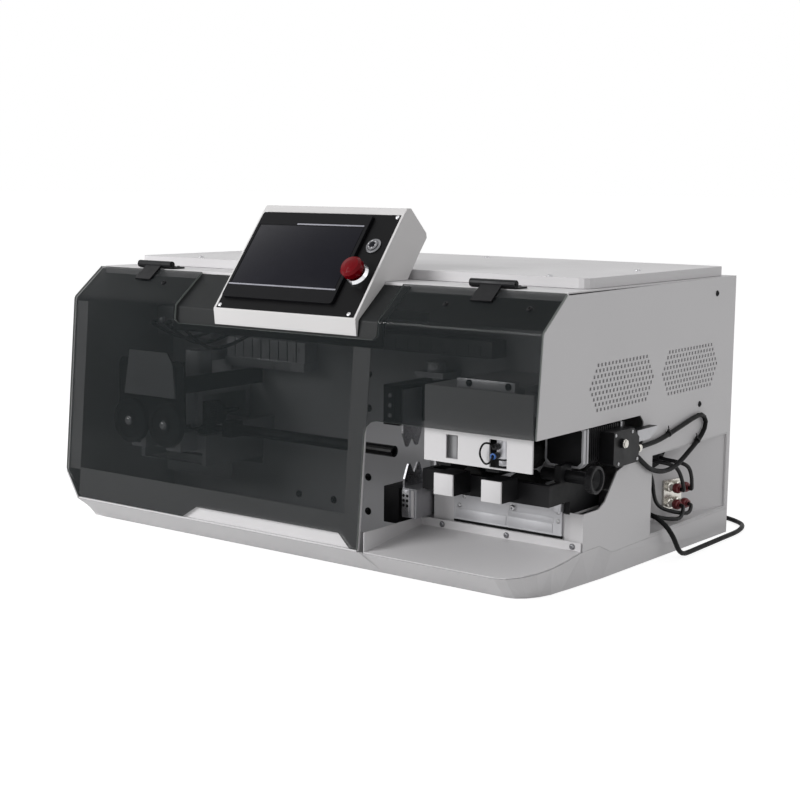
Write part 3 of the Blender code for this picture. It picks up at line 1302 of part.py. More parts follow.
def power_gland(machine, black):
    """Cable gland in the deep corner of the pocket."""
    start = wall_point(*GLAND_AT, 2 * GAP)
    bm = bmesh.new()
    profile = [(CORD_RADIUS - 0.001, 0), (0.0100, 0), (0.0100, 0.005), (0.0080, 0.006), (0.0080, 0.012)]
    profile += [(0.0055, 0.020), (CORD_RADIUS + 0.0005, GLAND_LENGTH), (CORD_RADIUS - 0.001, GLAND_LENGTH)]
    turned(bm, profile, start, WALL_OUT, 12)
    return add_part("power_gland", bm, black, machine, smooth=True)


GLAND_TIP = wall_point(*GLAND_AT, GLAND_LENGTH + 3 * GAP)
CORD_FLOOR = CORD_RADIUS + 0.0002
CORD_ROUTE = [
    tuple(GLAND_TIP),
    tuple(GLAND_TIP + WALL_OUT * 0.014),
    (0.4310, 0.2990, 0.0590),
    (0.4400, 0.3140, 0.0400),
    (0.4430, 0.3420, 0.0180),
    (0.4440, 0.3760, CORD_FLOOR + 0.0030),
    (0.4450, 0.4100, CORD_FLOOR),
    (0.4450, 0.4700, CORD_FLOOR),
    (0.4440, 0.5300, CORD_FLOOR),
    (0.4300, 0.5760, CORD_FLOOR),
    (0.4000, 0.5970, CORD_FLOOR),
    (0.3720, 0.6000, CORD_FLOOR),
    (COIL_AT[0] + COIL_RADIUS + 2 * CORD_RADIUS + GAP, 0.6000, CORD_FLOOR),
]


def mains_lead(machine, rubber):
    """Mains lead to the table and behind the machine, its coil and its plug."""
    flexible("power_cord", [(CORD_ROUTE, 40)], CORD_RADIUS, rubber, machine)
    bm = bmesh.new()
    centre = (*COIL_AT, 0.0)
    inner = COIL_RADIUS - 2 * CORD_RADIUS
    outer = COIL_RADIUS + 2 * CORD_RADIUS
    tube(bm, centre, (0, 0, 1), 6 * CORD_RADIUS + 0.0002, outer, inner, 20)
    bmesh.ops.translate(bm, verts=bm.verts, vec=(0, 0, 0.0001))
    add_part("power_cord_coil", bm, rubber, machine, smooth=True)
    bm = bmesh.new()
    x = COIL_AT[0] - outer - 0.033 - GAP
    y = COIL_AT[1]
    outline = [(-0.022, -0.012), (0.010, -0.012), (0.022, -0.006)]
    outline += [(a, -b) for a, b in outline[::-1]]
    prism(bm, [(x + 0.011 + a, y + b) for a, b in outline], 0.0002, 0.020, "xy")
    plug = add_part("mains_plug", bm, rubber, machine)
    bm = bmesh.new()
    for side in (-0.006, 0.006):
        block(bm, (x - 0.028, y + side - 0.0008, 0.0072), (x - 0.0105, y + side + 0.0008, 0.0132))
    return boolean(plug, add_part("guide_plug_pins", bm, None, machine, guide=True), "UNION")


def valve_bank(machine, mats):
    """Row of solenoid valves on the mounting plate."""
    low = WIRE_Z + 0.090
    bm = bmesh.new()
    count = 9
    pitch = 0.018
    start = OUTFEED_X + 0.023
    front = PLATE_Y - 0.037
    block(bm, (start, front, low), (start + count * pitch, PLATE_Y - GAP, low + 0.014))
    bank = add_part("valve_bank", bm, mats["aluminium"], machine)
    bm = bmesh.new()
    for k in range(count):
        x = start + k * pitch + 0.001
        block(bm, (x, front + 0.004, low + 0.013), (x + pitch - 0.002, PLATE_Y - 0.004, low + 0.045))
    return boolean(bank, add_part("guide_valves", bm, None, machine, guide=True), "UNION")


def cable_trunking(machine, grey):
    """Slotted wiring duct along the mounting plate."""
    low = WIRE_Z + 0.137
    left = BLADE_X - 0.200
    front = PLATE_Y - 0.037
    bm = bmesh.new()
    prism(bm, rectangle(front, low, PLATE_Y - GAP, low + 0.024), left, left + 0.30, "yz")
    duct = add_part("cable_trunking", bm, grey, machine)
    bm = bmesh.new()
    for k in range(14):
        x = left + 0.008 + k * 0.021
        block(bm, (x, front - 0.008, low + 0.003), (x + 0.011, front + 0.0015, low + 0.019))
    return boolean(duct, add_part("cutter_trunking", bm, None, machine, guide=True))


def build():
    clear_scene()
    mats = {
        "white": material("painted_panel", (0.64, 0.63, 0.64), 0.45),
        "shell": material("console_paint", (0.70, 0.69, 0.69), 0.40),
        "smoked": material("smoked_acrylic", (0.035, 0.040, 0.040), 0.08, 0.0, 0.55),
        "dark": material("dark_panel", (0.060, 0.062, 0.064), 0.45),
        "face": material("face_plate", (0.015, 0.015, 0.017), 0.25),
        "screen": material("screen", (0.02, 0.02, 0.025), 0.15),
        "metal": material("bright_metal", (0.72, 0.72, 0.74), 0.25, 1.0),
        "red": material("red_plastic", (0.55, 0.03, 0.03), 0.30),
        "black": material("black_anodised", (0.02, 0.02, 0.022), 0.45),
        "rubber": material("black_rubber", (0.018, 0.018, 0.018), 0.70),
        "steel": material("ground_steel", (0.62, 0.62, 0.64), 0.28, 1.0),
        "cast": material("grey_aluminium", (0.50, 0.50, 0.52), 0.45, 0.8),
        "aluminium": material("aluminium", (0.60, 0.60, 0.62), 0.35, 0.9),
        "grey": material("grey_plate", (0.30, 0.30, 0.31), 0.50),
        "brass": material("brass", (0.60, 0.48, 0.25), 0.30, 1.0),
    }
    machine = pivot("machine", (-(X_MIN + X_MAX) / 2, -(Y_MIN + Y_MAX) / 2, 0.0))
    white = mats["white"]
    base_pan(machine, white)
    left_side_panel(machine, white)
    right_side_panel(machine, white)
    rear_panel(machine, white)
    top_panel(machine, white)
    top_lid(machine, white)
    front_frame(machine, white)
    neck_panel(machine, mats["dark"])
    product_tray(machine, white)

    cover_axis = joint_pivot("cover_axis", (0.0, HINGE_Y, HINGE_Z), machine)
    front_cover(cover_axis, mats["smoked"])
    hinge("left", -HINGE_X, machine, cover_axis, mats["black"])
    hinge("right", HINGE_X, machine, cover_axis, mats["black"])

    face = pivot("console_face", (0.0, *FACE_BOTTOM), machine, FACE_ANGLE)
    console_shell(machine, face, mats["shell"])
    console_front(face, mats)

    mounting_plate(machine, mats["grey"])
    feed_unit("infeed", INFEED_X, machine, mats, True)
    feed_unit("outfeed", OUTFEED_X, machine, mats, False)
    infeed_front_plate(machine, white)
    outfeed_front_plate(machine, mats["black"])
    inlet_guide_tube(machine, mats["black"])
    exit_guide_tube(machine, mats["black"])
    outlet_conduit(machine, mats["black"])
    blade_unit(machine, mats)

    behind = PLATE_Y + MOUNT_T + GAP
    stepper_motor("infeed_motor", MOTOR_X, MOTOR_Z, MOTOR_START, MOTOR_LENGTH, machine, mats["black"])
    for name, x in (("outfeed_motor", OUTFEED_X), ("blade_motor", BLADE_X)):
        stepper_motor(name, x, MOTOR_Z - 0.006, behind, 0.080, machine, mats["black"])
    motor_terminal_box(machine, mats["black"])
    flexible("motor_cable", [(MOTOR_CABLE_ROUTE, 48)], CABLE_RADIUS, mats["rubber"], machine)
    connector_pocket(machine, white)
    air_fittings(machine, mats["brass"])
    power_gland(machine, mats["black"])
    mains_lead(machine, mats["rubber"])
    valve_bank(machine, mats)
    cable_trunking(machine, mats["grey"])


build()
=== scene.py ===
import json
import math

import bmesh
import bpy
from mathutils import Matrix, Vector


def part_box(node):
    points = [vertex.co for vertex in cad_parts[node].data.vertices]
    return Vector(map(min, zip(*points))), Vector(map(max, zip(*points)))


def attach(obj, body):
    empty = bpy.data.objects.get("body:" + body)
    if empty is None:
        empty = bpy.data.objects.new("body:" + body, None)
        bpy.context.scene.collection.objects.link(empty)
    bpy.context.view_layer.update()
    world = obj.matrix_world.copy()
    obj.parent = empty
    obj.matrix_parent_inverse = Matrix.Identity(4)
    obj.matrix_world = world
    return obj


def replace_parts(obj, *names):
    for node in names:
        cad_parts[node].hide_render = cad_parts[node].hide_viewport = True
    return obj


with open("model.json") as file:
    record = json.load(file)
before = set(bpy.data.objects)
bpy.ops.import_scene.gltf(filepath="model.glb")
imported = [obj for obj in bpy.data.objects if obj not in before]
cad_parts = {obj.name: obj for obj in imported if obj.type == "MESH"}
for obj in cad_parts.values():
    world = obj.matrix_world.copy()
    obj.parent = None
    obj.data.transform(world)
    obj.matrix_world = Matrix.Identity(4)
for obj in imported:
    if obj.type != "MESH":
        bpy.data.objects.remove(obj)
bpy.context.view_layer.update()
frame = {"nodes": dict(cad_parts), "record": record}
SHIFT = Vector((-0.0115, -0.2372455, 0.0))
NODES = frame["nodes"]

# Camera, fitted to the body's straight edges
FOCAL_SHARE = 1.8878877
CAMERA_AT = Vector((1.38559719, -1.60230669, 0.53170505))
AZIMUTH = 0.641569872
PITCH = 0.143890424
ROLL = 0.00914849
SENSOR = 36.0

# Sizes that repeat part.py
HALF_WIDTH = 0.425
BODY_TOP = 0.3955
LID_TOP = 0.4097
BEND = (-0.027, 0.350)
SLOPE_TOP = (0.030, 0.3955)
FACE_ORIGIN = Vector((0.0, -0.029, 0.349))
FACE_ANGLE = math.radians(51.95)
WIRE_Y = 0.080
WIRE_Z = 0.153
INFEED_X = 0.303
OUTFEED_X = -0.275
ROLLER_PITCH = 0.075
INFEED_AXES = tuple(INFEED_X + side * ROLLER_PITCH for side in (-0.5, 0.5))
OUTFEED_AXES = tuple(OUTFEED_X + side * ROLLER_PITCH for side in (-0.5, 0.5))
MOTOR_AXIS = (0.391, 0.191)
REAR_VENTS = (-0.200, 0.200)
CORD_RADIUS = 0.0036
COIL_AT = (0.300, 0.600)
COIL_RADIUS = 0.0396

LEFT, RIGHT = (-1, 0, 0), (1, 0, 0)
FRONT, BACK = (0, -1, 0), (0, 1, 0)
UP = (0, 0, 1)

# Sizes that only this script uses
SCREW_RADIUS = 0.0038
SCREW_HEIGHT = 0.0022
NODE_EDGE = 0.0005
COVER_EDGE = 0.0010
SHARP_ANGLE = math.radians(40)
FLOOR_RADIUS = 60.0
FLOOR_DROP = 0.0004

# Name, place, target, size and power of each lamp
LAMPS = (
    ("key", (-1.6, -2.9, 1.5), (0.0, 0.0, 0.2), 1.8, 88.0),
    ("top", (0.3, 0.4, 2.8), (0.0, 0.0, 0.2), 2.4, 6.0),
    ("side", (2.8, 0.2, 1.2), (0.2, 0.0, 0.2), 1.8, 8.0),
)
WORLD_LIGHT = 0.42
FLOOR_GLOW = 0.85


def put(name, data):
    """Make an object and put it in the scene."""
    obj = bpy.data.objects.new(name, data)
    bpy.context.scene.collection.objects.link(obj)
    return obj


def make_camera():
    forward = Vector((
        -math.sin(AZIMUTH) * math.cos(PITCH), math.cos(AZIMUTH) * math.cos(PITCH), -math.sin(PITCH),
    ))
    right = forward.cross(Vector((0, 0, 1))).normalized()
    up = right.cross(forward)
    right_rolled = right * math.cos(ROLL) + up * math.sin(ROLL)
    up_rolled = up * math.cos(ROLL) - right * math.sin(ROLL)
    data = bpy.data.cameras.new("camera")
    data.sensor_width = SENSOR
    data.lens = FOCAL_SHARE * SENSOR
    data.clip_start = 0.05
    data.clip_end = 200.0
    camera = put("camera", data)
    turn = Matrix((right_rolled, up_rolled, -forward)).transposed().to_4x4()
    camera.matrix_world = Matrix.Translation(CAMERA_AT + SHIFT) @ turn
    bpy.context.scene.camera = camera


# Materials, each from a node graph


EVEN = (1.0, 1.0, 1.0)


class Graph:
    """A material with its Principled shader and short calls that add nodes to it."""

    def __init__(self, name, color, roughness, metallic=0.0, **sockets):
        self.mat = bpy.data.materials.new(name)
        self.mat.use_nodes = True
        self.tree = self.mat.node_tree
        self.shader = self.tree.nodes["Principled BSDF"]
        self.shader.inputs["Base Color"].default_value = (*color, 1.0)
        self.shader.inputs["Roughness"].default_value = roughness
        self.shader.inputs["Metallic"].default_value = metallic
        for key, value in sockets.items():
            self.shader.inputs[key.replace("_", " ")].default_value = value
        self.mat.diffuse_color = (*color, 1.0)
        self.coords = self.add("ShaderNodeTexCoord").outputs["Object"]
        self.height = None

    def add(self, kind, values=None, **settings):
        node = self.tree.nodes.new(kind)
        for key, value in settings.items():
            setattr(node, key, value)
        for key, value in (values or {}).items():
            node.inputs[key].default_value = value
        return node

    def link(self, source, socket):
        self.tree.links.new(source, socket)

    def noise(self, scale, detail=3.0, rough=0.55, stretch=EVEN):
        mapping = self.add("ShaderNodeMapping", {"Scale": stretch})
        self.link(self.coords, mapping.inputs["Vector"])
        values = {"Scale": scale, "Detail": detail, "Roughness": rough}
        noise = self.add("ShaderNodeTexNoise", values)
        self.link(mapping.outputs["Vector"], noise.inputs["Vector"])
        return noise.outputs["Fac"]

    def ramp(self, source, low, high, start=0.0, stop=1.0):
        values = {"From Min": low, "From Max": high, "To Min": start, "To Max": stop}
        node = self.add("ShaderNodeMapRange", values)
        self.link(source, node.inputs["Value"])
        return node.outputs["Result"]

    def math(self, operation, a, b):
        node = self.add("ShaderNodeMath", operation=operation)
        for socket, value in zip(node.inputs, (a, b)):
            if isinstance(value, (int, float)):
                socket.default_value = value
            else:
                self.link(value, socket)
        return node.outputs["Value"]

    def mix(self, share, first, second):
        node = self.add("ShaderNodeMix", data_type="RGBA")
        self.link(share, node.inputs["Factor"])
        for socket, value in ((node.inputs[6], first), (node.inputs[7], second)):
            if isinstance(value, tuple):
                socket.default_value = (*value, 1.0)
            else:
                self.link(value, socket)
        return node.outputs[2]

    def vary(self, color, amount, scale, share=None):
        """Slow change of the base colour over the surface, then a second tint where worn."""
        dark = tuple(c * (1 - amount) for c in color)
        light = tuple(min(1.0, c * (1 + amount)) for c in color)
        tone = self.mix(self.ramp(self.noise(scale, 4.0), 0.3, 0.7), dark, light)
        if share is not None:
            tone = self.mix(share[0], tone, share[1])
        self.link(tone, self.shader.inputs["Base Color"])

    def edges(self, width, amount, broken=60.0):
        """Share from 0 to 1 that is high along worn edges, broken up by noise."""
        rounded = self.add("ShaderNodeBevel", {"Radius": width}, samples=4)
        geometry = self.add("ShaderNodeNewGeometry")
        turn = self.add("ShaderNodeVectorMath", operation="DOT_PRODUCT")
        self.link(rounded.outputs["Normal"], turn.inputs[0])
        self.link(geometry.outputs["Normal"], turn.inputs[1])
        worn = self.ramp(turn.outputs["Value"], 0.995, 0.90)
        patch = self.ramp(self.noise(broken, 4.0), 0.42, 0.62, 0.0, amount)
        return self.math("MULTIPLY", worn, patch)

    def rough(self, low, high, scale, stretch=EVEN):
        value = self.ramp(self.noise(scale, 4.0, 0.6, stretch), 0.3, 0.7, low, high)
        self.link(value, self.shader.inputs["Roughness"])

    def bump(self, source, strength, distance):
        node = self.add("ShaderNodeBump", {"Strength": strength, "Distance": distance})
        self.link(source, node.inputs["Height"])
        if self.height is not None:
            self.link(self.height, node.inputs["Normal"])
        self.height = node.outputs["Normal"]
        self.link(self.height, self.shader.inputs["Normal"])


def powder_coat(name, color, roughness=0.46, texture=0.14, gloss=0.42):
    """Painted sheet metal with a fine orange-peel grain and worn edges."""
    graph = Graph(name, color, roughness, Specular_IOR_Level=gloss)
    bare = tuple(c * 0.62 for c in color)
    graph.vary(color, 0.022, 7.0, (graph.edges(0.0007, 0.55), bare))
    graph.rough(roughness - 0.06, roughness + 0.08, 14.0)
    graph.bump(graph.noise(700.0, 2.0), texture, 0.00012)
    graph.bump(graph.noise(9.0, 2.0), 0.06, 0.002)
    return graph.mat


def brushed(name, color, roughness, stretch=EVEN, metallic=1.0):
    """Bare metal, brushed along the axis where stretch is small."""
    graph = Graph(name, color, roughness, metallic)
    lines = graph.noise(420.0, 3.0, 0.6, stretch)
    bright = tuple(min(1.0, c * 1.25) for c in color)
    graph.vary(color, 0.07, 30.0, (graph.edges(0.0005, 0.7), bright))
    graph.rough(roughness - 0.07, roughness + 0.10, 260.0, stretch)
    graph.bump(lines, 0.20, 0.00008)
    return graph.mat


def anodised(name, color, roughness):
    graph = Graph(name, color, roughness, 0.3, Specular_IOR_Level=0.14)
    graph.vary(color, 0.12, 25.0, (graph.edges(0.0004, 0.6), (0.15, 0.15, 0.16)))
    graph.rough(roughness - 0.06, roughness + 0.10, 60.0)
    graph.bump(graph.noise(1500.0, 2.0), 0.04, 0.00003)
    return graph.mat


def plastic(name, color, roughness, dust=0.05, grain=900.0, **sockets):
    """Moulded plastic with a fine grain and a little dust."""
    graph = Graph(name, color, roughness, **sockets)
    pale = tuple(min(1.0, c + dust) for c in color)
    patches = graph.ramp(graph.noise(45.0, 5.0, 0.65), 0.52, 0.80, 0.0, 0.5)
    graph.vary(color, 0.10, 30.0, (patches, pale))
    graph.rough(max(0.05, roughness - 0.05), roughness + 0.08, 50.0)
    graph.bump(graph.noise(grain, 2.0), 0.12, 0.00006)
    return graph.mat


def acrylic(name):
    """Smoked sheet: part of what is behind it shows through, and its cut edges are paler."""
    color = (0.012, 0.015, 0.016)
    graph = Graph(name, color, 0.07, IOR=1.19)
    geometry = graph.add("ShaderNodeNewGeometry")
    split = graph.add("ShaderNodeSeparateXYZ")
    graph.link(geometry.outputs["True Normal"], split.inputs["Vector"])
    sideways = graph.math("ABSOLUTE", split.outputs["X"], 0.0)
    upright = graph.math("ABSOLUTE", split.outputs["Z"], 0.0)
    cut = graph.math("MAXIMUM", graph.ramp(sideways, 0.5, 0.8), graph.ramp(upright, 0.86, 0.95))
    graph.vary(color, 0.10, 12.0, (cut, (0.20, 0.22, 0.21)))
    alpha = graph.ramp(cut, 0.0, 1.0, 0.51, 0.90)
    graph.link(alpha, graph.shader.inputs["Alpha"])
    graph.rough(0.045, 0.11, 18.0)
    graph.bump(graph.noise(22.0, 2.0), 0.04, 0.001)
    return graph.mat


def gloss_panel(name, color, roughness, gloss):
    """Smooth dark face with faint wiped marks."""
    graph = Graph(name, color, roughness, Specular_IOR_Level=gloss)
    graph.vary(color, 0.08, 16.0)
    graph.rough(roughness - 0.04, roughness + 0.07, 35.0, (1.0, 2.5, 2.5))
    graph.bump(graph.noise(1800.0, 2.0), 0.05, 0.00003)
    return graph.mat


def ribbed_rubber(name, color, roughness):
    graph = Graph(name, color, roughness, Specular_IOR_Level=0.08)
    pale = tuple(c + 0.007 for c in color)
    patches = graph.ramp(graph.noise(70.0, 5.0, 0.7), 0.48, 0.75, 0.0, 0.7)
    graph.vary(color, 0.15, 60.0, (patches, pale))
    graph.rough(roughness - 0.10, roughness + 0.10, 80.0)
    graph.bump(graph.noise(1100.0, 3.0), 0.30, 0.00012)
    return graph.mat


def make_materials():
    """Every finish by name: those of the record's slots, then those of the small pieces."""
    return {
        "painted_panel": powder_coat("powder_coat_light", (0.62, 0.61, 0.62)),
        "console_paint": powder_coat("powder_coat_console", (0.61, 0.60, 0.60), 0.42),
        "smoked_acrylic": acrylic("smoked_sheet"),
        "dark_panel": powder_coat("powder_coat_dark", (0.011, 0.012, 0.0125), 0.50, 0.10, 0.16),
        "face_plate": gloss_panel("console_face", (0.005, 0.005, 0.0055), 0.32, 0.08),
        "screen": gloss_panel("panel_housing", (0.006, 0.006, 0.007), 0.34, 0.08),
        "glass": gloss_panel("panel_glass", (0.006, 0.006, 0.010), 0.20, 0.10),
        "lines": plastic("panel_lines", (0.28, 0.28, 0.32), 0.35, 0.02),
        "bright_metal": brushed("polished_ring", (0.74, 0.74, 0.76), 0.20),
        "red_plastic": plastic(
            "red_cap", (0.14, 0.0008, 0.0040), 0.12, 0.0, 300.0, Specular_IOR_Level=0.10,
        ),
        "black_metal": anodised("black_anodised", (0.010, 0.010, 0.011), 0.38),
        "black_plastic": plastic(
            "black_moulding", (0.010, 0.010, 0.011), 0.42, 0.02, Specular_IOR_Level=0.20,
        ),
        "black_rubber": ribbed_rubber("black_sheath", (0.006, 0.006, 0.0065), 0.48),
        "roller_rubber": ribbed_rubber("roller_rubber", (0.013, 0.013, 0.013), 0.70),
        "ground_steel": brushed("ground_steel", (0.60, 0.60, 0.62), 0.28, (1.0, 1.0, 12.0)),
        "grey_aluminium": brushed(
            "milled_aluminium", (0.46, 0.46, 0.48), 0.40, (0.15, 1.0, 1.0), 0.85,
        ),
        "aluminium": brushed("clear_anodised", (0.62, 0.62, 0.64), 0.34, (1.0, 1.0, 0.15)),
        "grey_plate": powder_coat("plate_grey", (0.66, 0.66, 0.68), 0.50, 0.0),
        "grey_plastic": plastic("grey_moulding", (0.30, 0.30, 0.31), 0.50, 0.04),
        "brass": brushed("nickel_plate", (0.60, 0.58, 0.54), 0.26),
        "gloss_tube": plastic("tube_gloss_black", (0.008, 0.008, 0.009), 0.16, 0.006, 400.0),
        # Near-black finish of the infeed frames and the lower blade clamp: partly a black anodised
        # finish, partly painted shade that darkens the gaps between the parts.
        "frame_dark_and_shade": gloss_panel("frame_dark_and_shade", (0.008, 0.008, 0.009), 0.48, 0.14),
        "black_hose": plastic(
            "hose_black", (0.007, 0.007, 0.008), 0.28, 0.008, 400.0, Specular_IOR_Level=0.25,
        ),
        "filter_foam": ribbed_rubber("filter_foam", (0.34, 0.34, 0.35), 0.85),
        "silver_plate": brushed(
            "silver_plate", (0.50, 0.50, 0.52), 0.46, (0.08, 1.0, 1.0), 0.35,
        ),
        "screw_steel": brushed("screw_steel", (0.42, 0.42, 0.43), 0.34),
        "button_steel": brushed("button_steel", (0.20, 0.20, 0.21), 0.30),
        "blue_plastic": plastic("blue_release_ring", (0.02, 0.10, 0.34), 0.35, 0.03),
        "dark_red": plastic("dark_red_ring", (0.16, 0.016, 0.020), 0.38, 0.03),
    }


# Filled by main()
MATS = {}

NODE_SLOTS = {row["node"]: row["material_slot"] for row in frame["record"]["subparts"]}

# Nodes whose hard edges are rounded
CRISP = (
    "base_pan", "left_side_panel", "rear_panel", "top_panel", "top_lid", "front_frame",
    "product_tray", "infeed_front_plate", "console_shell", "front_cover", "outfeed_front_plate",
    "outfeed_lower_frame", "infeed_upper_frame", "outfeed_upper_frame",
    "lower_blade_carriage", "upper_blade_carriage", "touch_screen", "console_face_plate",
    "motor_terminal_box", "infeed_motor", "valve_bank", "infeed_lift_cylinder",
    "outfeed_lift_cylinder", "cable_trunking",
)

# Nodes whose finish differs from their slot's
OWN_FINISH = {
    "power_button": "button_steel",
    "power_button_ring": "button_steel",
    "outlet_conduit": "gloss_tube",
    # Infeed upper frame in the near-black finish that is partly painted shade
    "infeed_upper_frame": "frame_dark_and_shade",
    "lower_blade_carriage": "grey_aluminium",
}


def round_edges(obj, width=0.0004):
    """Join the flat parts of an object's faces and round its hard edges."""
    flat = obj.modifiers.new("flat", "DECIMATE")
    flat.decimate_type = "DISSOLVE"
    flat.angle_limit = math.radians(1.0)
    bevel = obj.modifiers.new("bevel", "BEVEL")
    bevel.width = width
    bevel.segments = 2
    bevel.limit_method = "ANGLE"
    bevel.angle_limit = SHARP_ANGLE
    bevel.harden_normals = True
    return obj


def dress_nodes():
    """Put a node material on every CAD node, and round the hard edges of the visible ones."""
    for name, obj in NODES.items():
        obj.data.materials.clear()
        obj.data.materials.append(MATS[OWN_FINISH.get(name, NODE_SLOTS[name])])
        if name in CRISP:
            weld = obj.modifiers.new("weld", "WELD")
            weld.merge_threshold = 1e-5
            round_edges(obj, COVER_EDGE if name == "front_cover" else NODE_EDGE)


def piece(name, bm, finish, body="machine", angle=40.0):
    """A mesh piece drawn in the design frame, moved to the row frame, riding on a body."""
    bmesh.ops.translate(bm, verts=bm.verts, vec=SHIFT)
    bmesh.ops.recalc_face_normals(bm, faces=bm.faces)
    mesh = bpy.data.meshes.new(name)
    bm.to_mesh(mesh)
    bm.free()
    mesh.shade_smooth()
    mesh.set_sharp_from_angle(angle=math.radians(angle))
    mesh.materials.append(MATS[finish])
    obj = put(name, mesh)
    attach(obj, body)
    return obj


def spun(bm, profile, at, axis, steps=20):
    """Turn (radius, height) points round an axis through a point."""
    axis = Vector(axis).normalized()
    side = axis.orthogonal().normalized()
    at = Vector(at)
    rings = []
    for radius, height in profile:
        if radius == 0:
            rings.append([bm.verts.new(at + axis * height)])
            continue
        turns = [Matrix.Rotation(math.tau * k / steps, 3, axis) @ side for k in range(steps)]
        rings.append([bm.verts.new(at + axis * height + turn * radius) for turn in turns])
    for low, high in zip(rings, rings[1:]):
        for k in range(steps):
            corners = [low[k % len(low)], low[(k + 1) % len(low)]]
            corners += [high[(k + 1) % len(high)], high[k % len(high)]]
            corners = list(dict.fromkeys(corners))
            if len(corners) > 2:
                bm.faces.new(corners)


def turned(name, finish, profile, at, axis, steps=20, body="machine"):
    """A piece of one spun form."""
    bm = bmesh.new()
    spun(bm, profile, at, axis, steps)
    return piece(name, bm, finish, body)


def box(bm, low, high, bevel):
    """A block with slightly rounded edges."""
    low = Vector(low)
    size = Vector(high) - low
    place = Matrix.Translation(low + size / 2) @ Matrix.Diagonal((*size, 1.0))
    made = bmesh.ops.create_cube(bm, size=1.0, matrix=place)
    edges = list({edge for vert in made["verts"] for edge in vert.link_edges})
    bmesh.ops.bevel(bm, geom=edges, offset=bevel, segments=2, affect="EDGES", profile=0.5)


def blocks(name, finish, *boxes, body="machine", slot=None):
    """A piece of rounded blocks, each given by its low and high corners and its edge width."""
    bm = bmesh.new()
    for low, high, bevel in boxes:
        box(bm, low, high, bevel)
    return piece(name, bm, finish, body)


def facing(axis, points):
    return [(point, axis) for point in points]


def socket_screw(bm, at, axis, radius, height):
    """Domed head with a hexagon socket, on a thin washer."""
    axis = Vector(axis).normalized()
    at = Vector(at)
    steps = 24
    side = axis.orthogonal().normalized()
    profile = [
        (radius * 1.18, 0.0, 0), (radius * 1.18, height * 0.22, 0), (radius, height * 0.24, 0),
        (radius, height * 0.45, 0), (radius * 0.90, height * 0.78, 0), (radius * 0.66, height, 0),
        (radius * 0.46, height, 1), (radius * 0.46, height * 0.35, 1),
    ]
    rings = []
    for r, h, six in profile:
        ring = []
        for k in range(steps):
            angle = math.tau * k / steps
            reach = r
            if six:
                reach = r * math.cos(math.pi / 6) / math.cos(angle % (math.pi / 3) - math.pi / 6)
            out = Matrix.Rotation(angle, 3, axis) @ side
            ring.append(bm.verts.new(at + axis * h + out * reach))
        rings.append(ring)
    skin(bm, rings)


def screws(
    name, places, finish, body="machine", radius=SCREW_RADIUS, height=SCREW_HEIGHT,
):
    """A piece of screw heads, one for each point and axis."""
    bm = bmesh.new()
    for at, axis in places:
        socket_screw(bm, at, axis, radius, height)
    return piece(name, bm, finish, body, angle=35.0)


def tube(bm, path, radii, steps=12):
    """Closed round tube along a path, with its own radius at each point."""
    normal = (path[1] - path[0]).orthogonal().normalized()
    rings = []
    for i, (point, radius) in enumerate(zip(path, radii)):
        run = (path[min(i + 1, len(path) - 1)] - path[max(i - 1, 0)]).normalized()
        normal = (normal - run * normal.dot(run)).normalized()
        across = run.cross(normal)
        ring = []
        for k in range(steps):
            t = math.tau * k / steps
            side = normal * math.cos(t) + across * math.sin(t)
            ring.append(bm.verts.new(point + side * radius))
        rings.append(ring)
    skin(bm, rings)


def join_rings(bm, rings):
    """Join each ring of vertices to the next. All have the same length."""
    steps = len(rings[0])
    for low, high in zip(rings, rings[1:]):
        for k in range(steps):
            bm.faces.new((low[k], low[(k + 1) % steps], high[(k + 1) % steps], high[k]))


def skin(bm, rings):
    """Join rings of vertices into a closed form."""
    join_rings(bm, rings)
    bm.faces.new(rings[0][::-1])
    bm.faces.new(rings[-1])


def hose(name, points, radius, finish, count):
    """Round tube that follows a smooth curve through its points."""
    bm = bmesh.new()
    tube(bm, smooth_route(points, count), [radius] * count)
    return piece(name, bm, finish)


def smooth_route(points, count):
    """Evenly spaced points on a smooth curve through the route's own points, as in part.py."""
    points = [Vector(point) for point in points]
    dense = []
    for i in range(len(points) - 1):
        a, b, c = points[max(i - 1, 0)], points[i], points[i + 1]
        d = points[min(i + 2, len(points) - 1)]
        for k in range(24):
            t = k / 24
            dense.append(0.5 * (2 * b + (c - a) * t + (2 * a - 5 * b + 4 * c - d) * t * t
                                + (3 * b - a - 3 * c + d) * t ** 3))
    dense.append(points[-1])
    reach = [0.0]
    for i in range(1, len(dense)):
        reach.append(reach[-1] + (dense[i] - dense[i - 1]).length)
    result = []
    k = 0
    for i in range(count):
        goal = reach[-1] * i / (count - 1)
        while k < len(reach) - 2 and reach[k + 1] < goal:
            k += 1
        span = max(reach[k + 1] - reach[k], 1e-9)
        result.append(dense[k].lerp(dense[k + 1], min(max((goal - reach[k]) / span, 0.0), 1.0)))
    return result


AXES = {
    "xy": (Vector((1, 0, 0)), Vector((0, 1, 0)), Vector((0, 0, 1))),
    "xz": (Vector((1, 0, 0)), Vector((0, 0, 1)), Vector((0, 1, 0))),
    "yz": (Vector((0, 1, 0)), Vector((0, 0, 1)), Vector((1, 0, 0))),
}


def prism(bm, outline, low, high, plane="xy", holes=()):
    """Fill a flat outline with its holes and extrude it along the plane's normal."""
    across, up, normal = AXES[plane]
    edges = []
    for loop in (outline, *holes):
        verts = [bm.verts.new(across * a + up * b + normal * low) for a, b in loop]
        edges += [bm.edges.new((verts[i - 1], verts[i])) for i in range(len(verts))]
    filled = bmesh.ops.triangle_fill(bm, use_beauty=True, edges=edges)
    faces = [item for item in filled["geom"] if isinstance(item, bmesh.types.BMFace)]
    raised = bmesh.ops.extrude_face_region(bm, geom=faces, use_keep_orig=True)
    moved = [item for item in raised["geom"] if isinstance(item, bmesh.types.BMVert)]
    bmesh.ops.translate(bm, verts=moved, vec=normal * (high - low))


